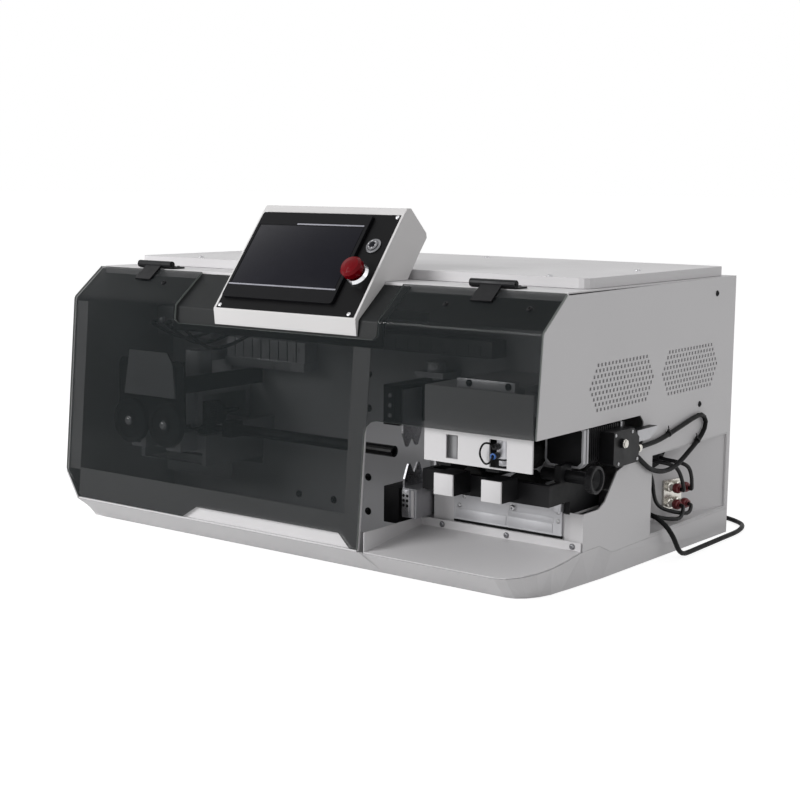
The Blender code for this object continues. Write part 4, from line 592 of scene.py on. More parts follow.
def circle(a, b, radius, steps=20):
    turns = [math.tau * i / steps for i in range(steps)]
    return [(a + radius * math.cos(turn), b + radius * math.sin(turn)) for turn in turns]


def rectangle(a0, b0, a1, b1):
    return [(a0, b0), (a1, b0), (a1, b1), (a0, b1)]


def plate(name, finish, outline, low, high, plane, edge=0.0004, angle=35, slot=None):
    """A sheet with rounded edges."""
    bm = bmesh.new()
    prism(bm, outline, low, high, plane)
    return round_edges(piece(name, bm, finish, angle=angle), edge)


# Mains lead

WALL_OUT = Vector((0.245, -0.055, 0.0)).normalized()


def wall_point(y, z, out=0.0):
    """Point on the slanted wall of the connection pocket, and out from it."""
    return Vector((0.423 - 0.055 * (0.518 - y) / 0.245, y, z)) + WALL_OUT * out


GLAND_TIP = wall_point(0.305, 0.066, 0.0249)
CORD_ROUTE = [
    GLAND_TIP, GLAND_TIP + WALL_OUT * 0.008,
    (0.4234, 0.2966, 0.0622), (0.4360, 0.3002, 0.0520), (0.4418, 0.3074, 0.0400),
    (0.4436, 0.3165, 0.0275), (0.4442, 0.3255, 0.0150), (0.4443, 0.3375, 0.0066),
    (0.4447, 0.3530, 0.0038), (0.4450, 0.4000, 0.0038), (0.4450, 0.4700, 0.0038),
    (0.4440, 0.5300, 0.0038), (0.4320, 0.5720, 0.0038), (0.4080, 0.5950, 0.0038),
    (0.3760, 0.6115, 0.0038), (0.3440, 0.6270, 0.0038),
]
COIL_TURNS = 4.0
ENTRY = math.radians(65)
# Start and length in degrees of each step that the winding takes, and its direction
COIL_MOVES = (
    (210, 150, "in"), (480, 90, "up"), (690, 150, "out"), (960, 90, "up"), (1170, 150, "in"),
)
# Angle, radius and height of the points where the lead's end passes over the coil
TAIL_OVER = ((85, 0.0366, 0.0203), (100, 0.0390, 0.0243), (114, 0.0430, 0.0262))
PLUG_REAR = Vector((0.2300, 0.6157, 0.0104))
TAIL_DOWN = [
    (0.2700, 0.6375, 0.0252), (0.2580, 0.6310, 0.0205), (0.2470, 0.6250, 0.0150),
    (0.2370, 0.6195, 0.0115), PLUG_REAR,
]
PLUG_HEADING = math.radians(206)


def ease(value):
    value = min(max(value, 0.0), 1.0)
    return value * value * (3 - 2 * value)


def around_coil(angle, radius, z):
    return Vector((COIL_AT[0] + radius * math.cos(angle), COIL_AT[1] + radius * math.sin(angle), z))


def coil_points():
    """Two columns of turns in three layers; the steps in, out and up follow one another."""
    outer = COIL_RADIUS + CORD_RADIUS
    pitch = 2 * CORD_RADIUS + 0.0001
    points = []
    count = int(COIL_TURNS * 40)
    for i in range(count + 1):
        turned = 360.0 * COIL_TURNS * i / count
        inward = 0.0
        layer = 0.0
        for start, length, kind in COIL_MOVES:
            part = ease((turned - start) / length)
            if kind == "up":
                layer += part
            else:
                inward += part if kind == "in" else -part
        radius = outer - 2 * CORD_RADIUS * inward
        z = CORD_RADIUS + 0.0002 + layer * pitch
        points.append(around_coil(ENTRY + math.radians(turned), radius, z))
    return points


def make_plug(path):
    """Moulded plug on the end of the lead, with its ribbed strain relief, and its pins."""
    ahead = Vector((math.cos(PLUG_HEADING), math.sin(PLUG_HEADING), 0.0))
    across = Vector((-ahead.y, ahead.x, 0.0))
    up = Vector(UP)
    bm = bmesh.new()
    rings = []
    steps = 32
    # Place along the plug, half width, half height and how square the section is
    for along, wide, tall, power in (
        (-0.0015, 0.0058, 0.0058, 1.0), (0.0, 0.0068, 0.0064, 0.9),
        (0.0025, 0.0095, 0.0082, 0.75), (0.0065, 0.0115, 0.0097, 0.6),
        (0.0120, 0.0120, 0.0100, 0.5), (0.0260, 0.0120, 0.0100, 0.45),
        (0.0275, 0.0113, 0.0095, 0.45), (0.0290, 0.0120, 0.0100, 0.45),
        (0.0410, 0.0124, 0.0101, 0.4), (0.0432, 0.0120, 0.0098, 0.4),
        (0.0440, 0.0110, 0.0090, 0.4),
    ):
        ring = []
        for k in range(steps):
            t = math.tau * k / steps
            a = math.copysign(abs(math.cos(t)) ** power, math.cos(t)) * wide
            b = math.copysign(abs(math.sin(t)) ** power, math.sin(t)) * tall
            ring.append(bm.verts.new(PLUG_REAR + ahead * along + across * a + up * b))
        rings.append(ring)
    skin(bm, rings)
    reach = 0.0
    relief = [path[-1]]
    for point in path[-2::-1]:
        reach += (point - relief[-1]).length
        relief.append(point)
        if reach > 0.022:
            break
    relief = smooth_route(relief, 23)
    radii = [0.0062 - 0.0022 * i / 22 - (0.0006 if i % 3 == 1 else 0.0) for i in range(23)]
    tube(bm, relief, radii, 20)
    plug = piece("plug_body", bm, "black_rubber", angle=50)
    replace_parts(plug, "mains_plug")
    bm = bmesh.new()
    for side in (-0.00635, 0.00635):
        box(bm, (0.0425, side - 0.00075, -0.0066), (0.0610, side + 0.00075, -0.0003), 0.0005)
    earth = [(0, 0.0425), (0.0024, 0.0425), (0.0024, 0.0620), (0.0016, 0.0636), (0, 0.0640)]
    spun(bm, earth, (0, 0, 0.0056), RIGHT)
    for vert in bm.verts:
        vert.co = PLUG_REAR + ahead * vert.co.x + across * vert.co.y + up * vert.co.z
    return plug, piece("plug_pins", bm, "brass")


def make_coil_tie():
    """Strap that holds the turns together."""
    angle = math.radians(250)
    bm = bmesh.new()
    low, high, top, corner = 0.0319, 0.0473, 0.0226, 0.0020
    loop = []
    for centre_r, centre_z, start in (
        (high - corner, top - corner, 0), (low + corner, top - corner, 90),
        (low + corner, 0.0001 + corner, 180), (high - corner, 0.0001 + corner, 270),
    ):
        for k in range(5):
            t = math.radians(start + 22.5 * k)
            loop.append((centre_r + corner * math.cos(t), centre_z + corner * math.sin(t)))
    along = Vector((-math.sin(angle), math.cos(angle), 0.0))
    middle = ((low + high) / 2, top / 2)
    rings = []
    for share, inside in ((-1, 0), (1, 0), (1, 1), (-1, 1)):
        ring = []
        for r, z in loop:
            if inside:
                r -= math.copysign(0.0005, r - middle[0])
                z -= math.copysign(0.0005, z - middle[1])
            ring.append(bm.verts.new(around_coil(angle, r, z) + along * share * 0.0060))
        rings.append(ring)
    join_rings(bm, rings + rings[:1])
    return piece("coil_tie", bm, "black_plastic")


def make_cord():
    """Mains lead in one smooth curve: from the gland to the table, then the coil."""
    coil = coil_points()
    route = smooth_route(CORD_ROUTE + [coil[0]], 60)
    over = [around_coil(math.radians(angle), radius, z) for angle, radius, z in TAIL_OVER]
    tail = smooth_route(coil[-3:] + over + TAIL_DOWN, 30)
    path = route[:-1] + coil[:-3] + tail
    points = [point + SHIFT for point in path]
    curve = bpy.data.curves.new("mains_lead", "CURVE")
    curve.dimensions = "3D"
    curve.bevel_depth = CORD_RADIUS
    curve.bevel_resolution = 3
    curve.use_fill_caps = True
    spline = curve.splines.new("POLY")
    spline.points.add(len(points) - 1)
    for item, point in zip(spline.points, points):
        item.co = (*point, 1.0)
    spline.use_smooth = True
    curve.materials.append(MATS["black_rubber"])
    obj = put("mains_lead", curve)
    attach(obj, "machine")
    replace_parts(obj, "power_cord", "power_cord_coil")
    on_it = [*make_plug(path), make_coil_tie()]


# Stage


def tone_node(tree, kind, tone, strength=None):
    """A grey shader of a kind, with its strength where it has one."""
    node = tree.nodes.new(kind)
    node.inputs["Color"].default_value = (tone, tone, tone, 1.0)
    if strength is not None:
        node.inputs["Strength"].default_value = strength
    return node


def show_seen(tree, lit, seen, output_kind):
    """End a node tree: what the camera, gloss and glass see, and what other rays meet."""
    path = tree.nodes.new("ShaderNodeLightPath")
    share = path.outputs["Is Camera Ray"]
    for name in ("Is Glossy Ray", "Is Transmission Ray"):
        node = tree.nodes.new("ShaderNodeMath")
        node.operation = "MAXIMUM"
        tree.links.new(share, node.inputs[0])
        tree.links.new(path.outputs[name], node.inputs[1])
        share = node.outputs["Value"]
    mix = tree.nodes.new("ShaderNodeMixShader")
    tree.links.new(share, mix.inputs[0])
    tree.links.new(lit.outputs[0], mix.inputs[1])
    tree.links.new(seen.outputs[0], mix.inputs[2])
    output = tree.nodes.new(output_kind)
    tree.links.new(mix.outputs[0], output.inputs["Surface"])


def stage_material():
    """Floor that shows as white and keeps the object's shadow."""
    mat = bpy.data.materials.new("pale_floor")
    mat.use_nodes = True
    tree = mat.node_tree
    tree.nodes.clear()
    plain = tone_node(tree, "ShaderNodeBsdfDiffuse", 0.70)
    shaded = tone_node(tree, "ShaderNodeBsdfDiffuse", 0.38)
    glow = tone_node(tree, "ShaderNodeEmission", 1.0, FLOOR_GLOW)
    both = tree.nodes.new("ShaderNodeAddShader")
    tree.links.new(shaded.outputs[0], both.inputs[0])
    tree.links.new(glow.outputs[0], both.inputs[1])
    show_seen(tree, plain, both, "ShaderNodeOutputMaterial")
    return mat


def make_world():
    world = bpy.data.worlds.new("studio")
    world.use_nodes = True
    tree = world.node_tree
    tree.nodes.clear()
    soft = tone_node(tree, "ShaderNodeBackground", 1.0, WORLD_LIGHT)
    white = tone_node(tree, "ShaderNodeBackground", 1.0, 1.0)
    show_seen(tree, soft, white, "ShaderNodeOutputWorld")
    bpy.context.scene.world = world


def area_lamp(name, at, target, size, power):
    data = bpy.data.lights.new(name, "AREA")
    data.shape = "DISK"
    data.size = size
    data.energy = power
    lamp = put(name, data)
    lamp.location = at
    lamp.rotation_mode = "QUATERNION"
    lamp.rotation_quaternion = (Vector(target) - Vector(at)).to_track_quat("-Z", "Y")


def make_stage():
    bm = bmesh.new()
    bm.faces.new([bm.verts.new((x, y, 0.0)) for x, y in circle(0.0, 0.0, FLOOR_RADIUS, 96)])
    mesh = bpy.data.meshes.new("floor")
    bm.to_mesh(mesh)
    bm.free()
    mesh.materials.append(stage_material())
    floor = put("floor", mesh)
    floor.location = (0.0, 0.0, -FLOOR_DROP)
    make_world()
    for lamp in LAMPS:
        area_lamp(*lamp)


# Small pieces: places on the console's face and on the guard's slope


def face_point(x, up, out=0.0):
    cos = math.cos(FACE_ANGLE)
    sin = math.sin(FACE_ANGLE)
    return FACE_ORIGIN + Vector((x, up * cos - out * sin, up * sin + out * cos))


FACE_OUT = Vector((0.0, -math.sin(FACE_ANGLE), math.cos(FACE_ANGLE)))
SLOPE_OUT = Vector((0.0, BEND[1] - SLOPE_TOP[1], SLOPE_TOP[0] - BEND[0])).normalized()


def slope_point(x, y):
    z = BEND[1] + (y - BEND[0]) * (SLOPE_TOP[1] - BEND[1]) / (SLOPE_TOP[0] - BEND[0])
    return Vector((x, y, z))


def face_slab(bm, x0, up0, x1, up1, low, high, bevel=0.0002):
    """A thin slab on the console's face, from low to high above it."""
    start = len(bm.verts)
    box(bm, (x0, up0, low), (x1, up1, high), bevel)
    bm.verts.ensure_lookup_table()
    for vert in bm.verts[start:]:
        vert.co = face_point(vert.co.x, vert.co.y, vert.co.z)


def console_pieces():
    """Glass and marks of the operator panel, the screws, and the small button's lens and studs."""
    bm = bmesh.new()
    face_slab(bm, -0.1110, 0.0420, 0.0800, 0.1460, 0.0044, 0.00475)
    piece("panel_glass", bm, "glass")
    bm = bmesh.new()
    face_slab(bm, -0.1155, 0.0402, 0.0828, 0.0424, 0.0049, 0.00525, 0.0001)
    face_slab(bm, -0.0420, 0.1478, 0.0800, 0.1500, 0.0049, 0.00525, 0.0001)
    piece("panel_lines", bm, "lines")
    corners = ((-0.1165, 0.1705), (0.1255, 0.1690), (-0.1165, 0.0068), (0.1200, 0.0068))
    places = facing(FACE_OUT, [face_point(x, up) for x, up in corners])
    screws("console_screws", places, "bright_metal", radius=0.0026, height=0.0016)
    centre = face_point(0.108, 0.119, 0.0048)
    lens = [(0, 0.0009), (0.0040, 0.0008), (0.0047, 0.0005), (0.0047, 0.0)]
    turned("button_lens", "glass", lens, centre, FACE_OUT, 24, "power_button")
    bm = bmesh.new()
    stud = [(0, 0.0007), (0.0008, 0.0005), (0.0009, 0.0)]
    for k in range(6):
        turn = Matrix.Rotation(math.tau * k / 6, 3, FACE_OUT)
        side = turn @ FACE_OUT.orthogonal().normalized()
        spun(bm, stud, centre + side * 0.0060, FACE_OUT, 10)
    piece("button_studs", bm, "bright_metal", "power_button")


def body_screws():
    """Screws of the lid, the two sides, the guard, the hinges and the rear."""
    lid = [(0.012, 0.471), (0.350, 0.111), (0.376, 0.306), (-0.304, 0.130), (-0.376, 0.306)]
    screws("lid_screws", facing(UP, [(x, y, LID_TOP) for x, y in lid]), "screw_steel")
    side = [(0.464, 0.372), (0.418, 0.212)]
    places = facing(RIGHT, [(HALF_WIDTH, y, z) for y, z in side])
    places += facing(LEFT, [(-HALF_WIDTH, y, z) for y, z in side + [(0.060, 0.372)]])
    screws("side_screws", places, "black_metal")
    guard = ((-0.262, 0.007), (0.259, 0.003), (0.387, 0.004))
    places = facing(SLOPE_OUT, [slope_point(x, y) for x, y in guard])
    screws("guard_screws", places, "black_metal", "cover")
    leaf_top = BODY_TOP + 0.0028
    places = []
    for x, inward in ((-0.345, 0.008), (-0.275, -0.008), (0.275, 0.008), (0.345, -0.008)):
        places += facing(UP, [(x + inward, 0.0375 + offset, leaf_top) for offset in (0.012, 0.021)])
    screws("hinge_screws", places, "black_metal", radius=0.0024, height=0.0014)
    rear = [(x, 0.529, z) for x in (-0.39, 0.39) for z in (0.07, 0.21, 0.365)]
    screws("rear_screws", facing(BACK, rear), "screw_steel")


def infeed_cradle():
    """Lower frame of the infeed: black cheeks and bar with its bored bearing blocks. Their
    near-black is partly a black finish, partly painted shade between the parts.
    """
    left, right, cheek = 0.203, 0.403, 0.008
    bm = bmesh.new()
    prism(bm, rectangle(left, 0.034, right, 0.044), 0.118, 0.146)
    outline = [(0.0441, 0.118), (0.087, 0.118), (0.087, 0.1003), (0.1645, 0.1003)]
    outline += [(0.1645, 0.146), (0.0441, 0.146)]
    for x in (left, right - cheek):
        prism(bm, outline, x, x + cheek, "yz")
    hole = [circle(WIRE_Y, WIRE_Z, 0.0086)]
    prism(bm, rectangle(0.0635, 0.1462, 0.0897, 0.1685), 0.393, 0.4025, "yz", hole)
    for x in INFEED_AXES:
        outline = rectangle(x - 0.0155, 0.123, x + 0.0155, 0.152)
        prism(bm, outline, -0.002, 0.0339, "xz", [circle(x, 0.133, 0.0046)])
    # The cradle's near-black is partly painted shade between and behind the bearing covers.
    cradle = piece("infeed_cradle", bm, "frame_dark_and_shade", angle=35)
    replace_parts(round_edges(cradle), "infeed_lower_frame")
    shelf = [(0.0900, 0.0550), (0.0900, 0.1000), (0.1647, 0.1000), (0.1647, 0.0700)]
    shelf += [(0.1617, 0.0700), (0.1617, 0.0970), (0.0930, 0.0970), (0.0930, 0.0550)]
    plate("infeed_shelf", "painted_panel", shelf, 0.1830, 0.4030, "yz")
    blocks("bearing_covers", "painted_panel", *(
        ((x - 0.0152, -0.0066, 0.1232), (x + 0.0152, -0.0034, 0.1518), 0.0006) for x in INFEED_AXES
    ))


def infeed_skirt():
    """Silver plate under the infeed rollers with what is fixed to it, a black strip below it that
    paints the shade in the gap over the tray wall, and the tray's screws.
    """
    face = 0.0868
    top = [(0.3920, 0.0692), (0.3920, 0.1165), (0.3560, 0.1165), (0.3500, 0.1110)]
    top += [(0.2900, 0.1110), (0.2840, 0.1165), (0.2380, 0.1165), (0.2280, 0.1080)]
    top += [(0.2188, 0.1000), (0.2188, 0.0692)]
    plate("infeed_skirt_plate", "silver_plate", top, face, 0.0894, "xz", 0.0005)
    blocks(
        "skirt_clamps", "silver_plate",
        ((0.2230, 0.0861, 0.0720), (0.3050, face, 0.0845), 0.0002),
        ((0.3080, 0.0861, 0.0720), (0.3780, face, 0.0845), 0.0002),
        ((0.3080, 0.0862, 0.0860), (0.3790, face, 0.0930), 0.0002),
    )
    # Black strip in the gap between the tray wall and the plate: painted shade, a dark strip where
    # the gap only shows shade.
    gap_shade = ((0.2188, 0.0870, 0.0658), (0.3925, 0.0893, 0.0690), 0.0004)
    blocks("skirt_gap_shade", "black_rubber", gap_shade)
    spots = [(0.2366, 0.1031), (0.2285, 0.0895), *((0.3863, z) for z in (0.1102, 0.1010, 0.0889))]
    places = facing(FRONT, [(x, face, z) for x, z in spots])
    screws("skirt_screws", places, "screw_steel", radius=0.0030, height=0.0018)
    places = facing(FRONT, [(0.3156, face, 0.0975)])
    screws("skirt_knob", places, "screw_steel", radius=0.0046, height=0.0036)
    post = ((0.3828, 0.0780, 0.1030), (0.3946, 0.0866, 0.1340), 0.0008)
    blocks("guide_post", "grey_aluminium", post)
    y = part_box("product_tray")[1].y - SHIFT.y - 0.0016
    places = facing(FRONT, [(x, y, 0.0595) for x in (0.203, 0.309, 0.4115)])
    screws("tray_screws", places, "button_steel", radius=0.0036, height=0.0020)


def infeed_front():
    """What shows in the two slots of the front plate, and the bar over it."""
    bar = ((0.2800, -0.0185, 0.1720), (0.2950, -0.0125, 0.2678), 0.0008)
    blocks("slot_bar", "grey_plastic", bar, slot="aluminium")
    bm = bmesh.new()
    box(bm, (0.3560, -0.0200, 0.1845), (0.3700, -0.0065, 0.2600), 0.0022)
    for x in (0.3590, 0.3650):
        box(bm, (x, -0.0206, 0.2050), (x + 0.0014, -0.0198, 0.2560), 0.0002)
    nut = [(0, 0.0), (0.0058, 0.0), (0.0062, 0.0006), (0.0062, 0.0062), (0.0058, 0.0068)]
    spun(bm, nut + [(0, 0.0068)], (0.3642, -0.0140, 0.1760), UP, 6)
    piece("slot_cylinder", bm, "grey_aluminium")
    bm = bmesh.new()
    fitting = [(0, 0.0), (0.0042, 0.0), (0.0042, 0.0050), (0.0034, 0.0056), (0.0034, 0.0090)]
    for z in (0.1895, 0.2010):
        spun(bm, fitting + [(0, 0.0092)], (0.3592, -0.0210, z), FRONT)
    piece("slot_fittings", bm, "black_plastic")
    ring = [(0.0024, 0.0), (0.0040, 0.0), (0.0042, 0.0006), (0.0040, 0.0020), (0.0024, 0.0022)]
    turned("slot_release_ring", "blue_plastic", ring + ring[:1], (0.3592, -0.0303, 0.1895), FRONT)
    loop = [(0.3592, -0.0302, 0.2010), (0.3560, -0.0355, 0.2062), (0.3490, -0.0370, 0.2055)]
    loop += [(0.3430, -0.0360, 0.1975), (0.3425, -0.0350, 0.1880), (0.3490, -0.0350, 0.1800)]
    loop += [(0.3560, -0.0355, 0.1812), (0.3592, -0.0345, 0.1860), (0.3592, -0.0318, 0.1895)]
    hose("slot_hose", loop, 0.0013, "black_rubber", 44)
    blocks("plate_bar", "aluminium", ((0.2960, -0.0225, 0.2713), (0.3840, -0.0130, 0.2840), 0.0006))
    places = facing(FRONT, [(x, -0.0225, 0.2782) for x in (0.3152, 0.3745)])
    screws("bar_screws", places, "black_metal", radius=0.0040, height=0.0024)


def motor_frames(name, finish, spans, half, inner):
    """Square frames with cut corners round the infeed motor, one for each span along it."""
    x, z = MOTOR_AXIS
    cut = half - 0.0066
    ring = []
    for a, b in ((1, 1), (-1, 1), (-1, -1), (1, -1)):
        pair = [(a * half, b * cut), (a * cut, b * half)]
        ring += pair if a * b > 0 else pair[::-1]
    ring = [(x + a, z + b) for a, b in ring]
    hole = [(x + (a - x) * inner / half, z + (b - z) * inner / half) for a, b in ring]
    bm = bmesh.new()
    for low, high in spans:
        prism(bm, ring, low, high, "xz", [hole])
    piece(name, bm, finish, angle=30)


def motor_details():
    """Silver end plates and cooling ribs round the infeed motor, and the box's fittings."""
    ends = ((0.0897, 0.0962), (0.0985, 0.1030), (0.1885, 0.1930))
    motor_frames("motor_end_plates", "silver_plate", ends, 0.0290, 0.0262)
    ribs = [(0.1075 + 0.0055 * k, 0.1102 + 0.0055 * k) for k in range(14)]
    motor_frames("motor_ribs", "black_metal", ribs, 0.0284, 0.0264)
    bracket = [(0.204, 0.1852), (0.2398, 0.1852), (0.262, 0.1972), (0.262, 0.2008), (0.204, 0.2008)]
    plate("terminal_plate", "silver_plate", bracket, 0.43705, 0.43795, "yz", 0.0002, 30)
    knob = [(0, 0), (0.0060, 0), (0.0060, 0.0012), (0.0052, 0.0018), (0.0052, 0.0030)]
    knob += [(0.0036, 0.0036), (0, 0.0036)]
    turned("terminal_knob", "brass", knob, (0.4435, 0.158, 0.190), RIGHT, 24)
    nut = [(0.0037, 0.0), (0.0068, 0.0), (0.0072, 0.0006), (0.0072, 0.0050), (0.0066, 0.0056)]
    nut += [(0.0056, 0.0060), (0.0054, 0.0095), (0.0046, 0.0100), (0.0037, 0.0100), (0.0037, 0.0)]
    turned("cable_gland_nut", "brass", nut, (0.4297, 0.2155, 0.1745), BACK, 24)
    spots = ((0.1395, 0.2025), (0.1850, 0.2025), (0.1480, 0.1635), (0.2000, 0.1635))
    places = facing(RIGHT, [(0.440, y, z) for y, z in spots])
    screws("terminal_screws", places, "screw_steel", radius=0.0020, height=0.0014)
    cable_ties()


def cable_ties():
    """Two ties on the motor's cable: a band, its head and its end."""
    bm = bmesh.new()
    band = [(0.0033, -0.0013), (0.0046, -0.0013), (0.0046, 0.0013), (0.0033, 0.0013)]
    for y, z, run in ((0.3130, 0.1818, (0, 0.97, 0.22)), (0.4060, 0.1602, (0, 0.90, 0.436))):
        run = Vector(run).normalized()
        head = Vector((0, -run.z, run.y))
        at = Vector((0.4297, y, z))
        spun(bm, band + band[:1], at, run)
        start = len(bm.verts)
        box(bm, (-0.0014, -0.0018, 0.0040), (0.0014, 0.0018, 0.0068), 0.0004)
        box(bm, (-0.0008, 0.0006, 0.0064), (0.0008, 0.0014, 0.0120), 0.0003)
        bm.verts.ensure_lookup_table()
        for vert in bm.verts[start:]:
            vert.co = at + Vector((vert.co.x, 0, 0)) + run * vert.co.y + head * vert.co.z
    piece("cable_ties", bm, "black_plastic")


def air_hose(number, base, tip):
    """Short hose from its grommet to its fitting. The first and last hang lower."""
    out = 0.015 + 0.004 * (number % 3)
    outer = number in (0, 3)
    route = [base + WALL_OUT * 0.0010, base + WALL_OUT * 0.0080 + Vector((0, 0.001, -0.002))]
    middle = (base + tip) / 2
    if outer:
        low = tip.z - (0.016 if number == 0 else 0.010)
        route.append(Vector((base.x + out, base.y + 0.008, (base.z + tip.z) / 2 + 0.010)))
        route.append(Vector((base.x + out + 0.003, base.y + 0.026, low + 0.012)))
        route.append(Vector((tip.x + 0.006, tip.y - 0.022, low)))
    else:
        route.append(Vector((middle.x + out, middle.y - 0.004, middle.z + 0.012)))
    route.append(tip + WALL_OUT * 0.0070 + Vector((0, -0.0035, -0.002 if outer else 0.002)))
    route.append(tip - WALL_OUT * 0.0012)
    hose("air_hose_%d" % (number + 1), route, 0.0029, "black_hose", 40)


def pocket_details():
    """Release rings and short hoses of the air fittings, the grommets they go into, and a flat
    black patch of painted shade for the dark opening round them.
    """
    rings = bmesh.new()
    tips = []
    ring = [(0.0030, 0.0155), (0.0070, 0.0155), (0.0074, 0.0165), (0.0074, 0.0215)]
    ring += [(0.0066, 0.0232), (0.0050, 0.0240), (0.0050, 0.0262), (0.0030, 0.0262)]
    for across, up in ((-0.009, -0.012), (0.009, -0.012), (-0.009, 0.012), (0.009, 0.012)):
        base = wall_point(0.395 + across, 0.078 + up)
        tips.append(base + WALL_OUT * 0.0262)
        spun(rings, ring + ring[:1], base, WALL_OUT)
    piece("fitting_rings", rings, "dark_red")
    bm = bmesh.new()
    # Flat black patch on the pocket wall: painted shade that stands for the dark opening the hoses
    # pass through.
    opening = [(0.2790, 0.1130), (0.2790, 0.1420), (0.3300, 0.1590), (0.3840, 0.1640)]
    opening += [(0.3900, 0.1590), (0.3640, 0.1250), (0.3100, 0.1080)]
    depths = (0.0004, 0.0016)
    skin(bm, [[bm.verts.new(wall_point(y, z, out)) for y, z in opening] for out in depths])
    piece("hose_opening_shade", bm, "black_rubber", angle=30)
    grommets = bmesh.new()
    lip = [(0.0032, -0.0004), (0.0064, -0.0004), (0.0060, 0.0022), (0.0038, 0.0026)]
    lip += [(0.0032, 0.0026), (0.0032, -0.0004)]
    starts = ((0.300, 0.134), (0.345, 0.136), (0.367, 0.136), (0.325, 0.136))
    for number, ((y, z), end) in enumerate(zip(starts, (0, 2, 3, 1))):
        base = wall_point(y, z)
        spun(grommets, lip, base, WALL_OUT)
        air_hose(number, base, tips[end])
    piece("hose_grommets", grommets, "black_plastic")


def blade_details():
    """Clamp plates and screws on the two blade carriages, and the bolts on the plate behind."""
    lower, upper = "lower_blade_slide", "upper_blade_slide"
    clamp = ((0.1224, 0.0525, 0.0570), (0.1488, 0.1206, 0.1085), 0.0008)
    # Near-black clamp, in the finish that is partly painted shade.
    blocks("lower_blade_clamp", "frame_dark_and_shade", clamp, body=lower)
    clamp = ((0.1568, 0.0490, 0.0705), (0.1690, 0.0518, 0.1080), 0.0005)
    blocks("lower_clamp_plate", "ground_steel", clamp, body=lower)
    spots = [(x, 0.0490, z) for x in (0.1598, 0.1660) for z in (0.0860, 0.0930, 0.1000)]
    places = facing(FRONT, spots)
    screws("lower_clamp_screws", places, "black_metal", lower, radius=0.0019, height=0.0012)
    strip = ((0.1720, 0.0495, 0.0705), (0.1765, 0.0518, 0.1080), 0.0005)
    blocks("lower_guide_strip", "painted_panel", strip, body=lower, slot="aluminium")
    clamp = ((0.1275, 0.0490, 0.2020), (0.1420, 0.0518, 0.2460), 0.0005)
    blocks("upper_clamp_plate", "black_metal", clamp, body=upper)
    places = facing(FRONT, [(0.1348, 0.0490, z) for z in (0.2100, 0.2240, 0.2380)])
    screws("upper_clamp_screws", places, "screw_steel", upper, radius=0.0026, height=0.0016)
    strip = ((0.1765, 0.1300, 0.0900), (0.1805, 0.1640, 0.2500), 0.0006)
    blocks("guide_rail_strip", "bright_metal", strip)
    spots = [(0.0072, 0.165, z) for z in (0.0367, 0.0891, 0.1945, 0.2459)]
    spots += [(x, 0.165, z) for x in (-0.130, -0.060) for z in (0.0450, 0.3200)]
    screws("plate_bolts", facing(FRONT, spots), "black_metal", radius=0.0048, height=0.0034)


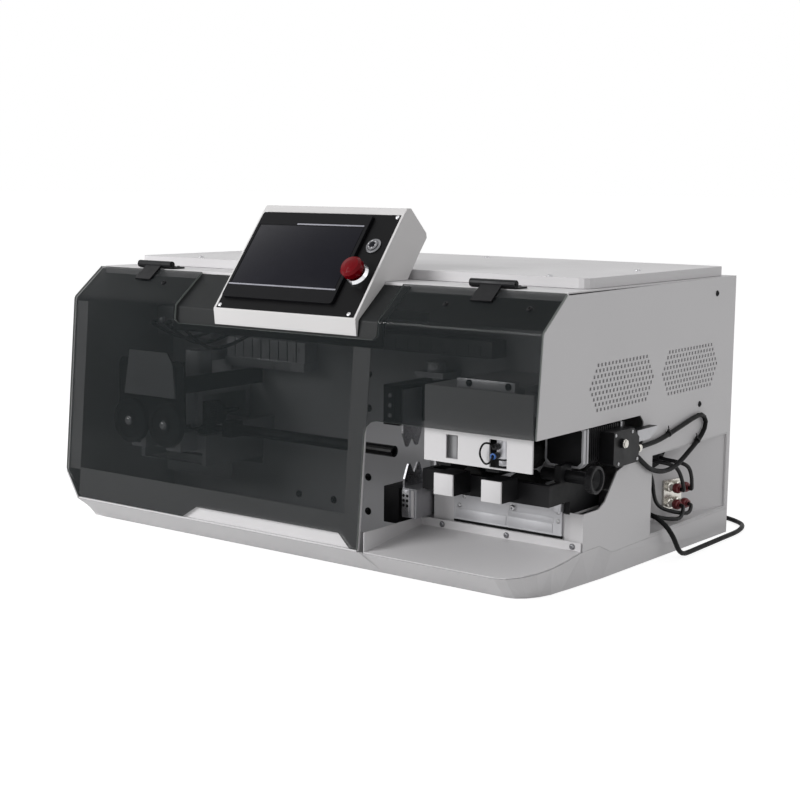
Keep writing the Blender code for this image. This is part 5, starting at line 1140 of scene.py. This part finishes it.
def outfeed_details():
    """Wheel covers, bolts and a light plate on the front of the outfeed unit, and its air hoses."""
    wheel_z = 0.1660
    cover = [(0, 0.0), (0.0330, 0.0), (0.0345, 0.0015), (0.0345, 0.0100), (0.0330, 0.0115)]
    cover += [(0.0270, 0.0115), (0.0255, 0.0100), (0.0255, 0.0090), (0.0120, 0.0090)]
    cover += [(0.0105, 0.0120), (0, 0.0120)]
    bm = bmesh.new()
    for x in OUTFEED_AXES:
        spun(bm, cover, (x, -0.0103, wheel_z), FRONT, 40)
    piece("outfeed_wheel_covers", bm, "black_plastic")
    places = facing(FRONT, [(x, -0.0223, wheel_z) for x in OUTFEED_AXES])
    screws("outfeed_bolts", places, "bright_metal", radius=0.0058, height=0.0042)
    top = [(-0.331, 0.2060), (-0.222, 0.2060), (-0.226, 0.2560), (-0.238, 0.2740), (-0.318, 0.2740)]
    depth = (-0.0132, -0.0102)
    plate("outfeed_top_plate", "grey_plastic", top, *depth, "xz", 0.0006, slot="aluminium")
    bush = [(0.0085, 0.0), (0.0140, 0.0), (0.0145, 0.0006), (0.0145, 0.0110), (0.0140, 0.0116)]
    bush += [(0.0085, 0.0116), (0.0085, 0.0)]
    turned("exit_bush", "bright_metal", bush, (-0.4165, WIRE_Y, WIRE_Z), RIGHT, 28)
    bm = bmesh.new()
    box(bm, (-0.3930, 0.1180, 0.2830), (-0.2740, 0.1645, 0.3290), 0.0025)
    outlet = [(0, 0), (0.0052, 0), (0.0052, 0.006), (0.0036, 0.007), (0.0036, 0.01), (0, 0.01)]
    outlets = [-0.380 + 0.031 * k for k in range(4)]
    for x in outlets:
        spun(bm, outlet, (x, 0.1180, 0.3060), FRONT, 16)
    piece("air_manifold", bm, "aluminium")
    for k, x in enumerate(outlets[:3]):
        start = Vector((x, 0.1085, 0.3060))
        stop = Vector((-0.2300 + 0.036 * k, 0.1310, 0.2985))
        sag = Vector((0, -0.020 - 0.004 * k, -0.018 - 0.006 * k))
        route = [start, start + Vector((0.002, -0.012, -0.004)), (start + stop) / 2 + sag]
        route += [stop + Vector((0.0, -0.006, 0.012)), stop]
        hose("manifold_hose_%d" % (k + 1), route, 0.0026, "black_hose", 30)


def vent_filters():
    """Thin foam mats on the inside of the side panels, behind their vents, and black mats behind
    the rear vents that paint the shade inside the machine.
    """
    z, half_height = 0.2675, 0.0370
    bm = bmesh.new()
    for y in (0.1815, 0.3840):
        outline = [
            (y - 0.0970, z), (y - 0.0790, z + half_height), (y + 0.0790, z + half_height),
            (y + 0.0970, z), (y + 0.0790, z - half_height), (y - 0.0790, z - half_height),
        ]
        prism(bm, outline, 0.4206, 0.4227, "yz")
    piece("vent_filters", bm, "filter_foam")
    # Black mats behind the rear vents: painted shade that stands for the dark inside of the
    # machine.
    blocks("rear_vent_shade", "black_rubber", *(
        ((x - 0.057, 0.5238, 0.2240), (x + 0.057, 0.5266, 0.3060), 0.0008) for x in REAR_VENTS
    ))


def main():
    MATS.update(make_materials())
    make_camera()
    make_cord()
    dress_nodes()
    make_stage()
    console_pieces()
    body_screws()
    infeed_cradle()
    infeed_skirt()
    infeed_front()
    motor_details()
    pocket_details()
    blade_details()
    outfeed_details()
    vent_filters()


bpy.context.scene.view_settings.view_transform = "Standard"
main()
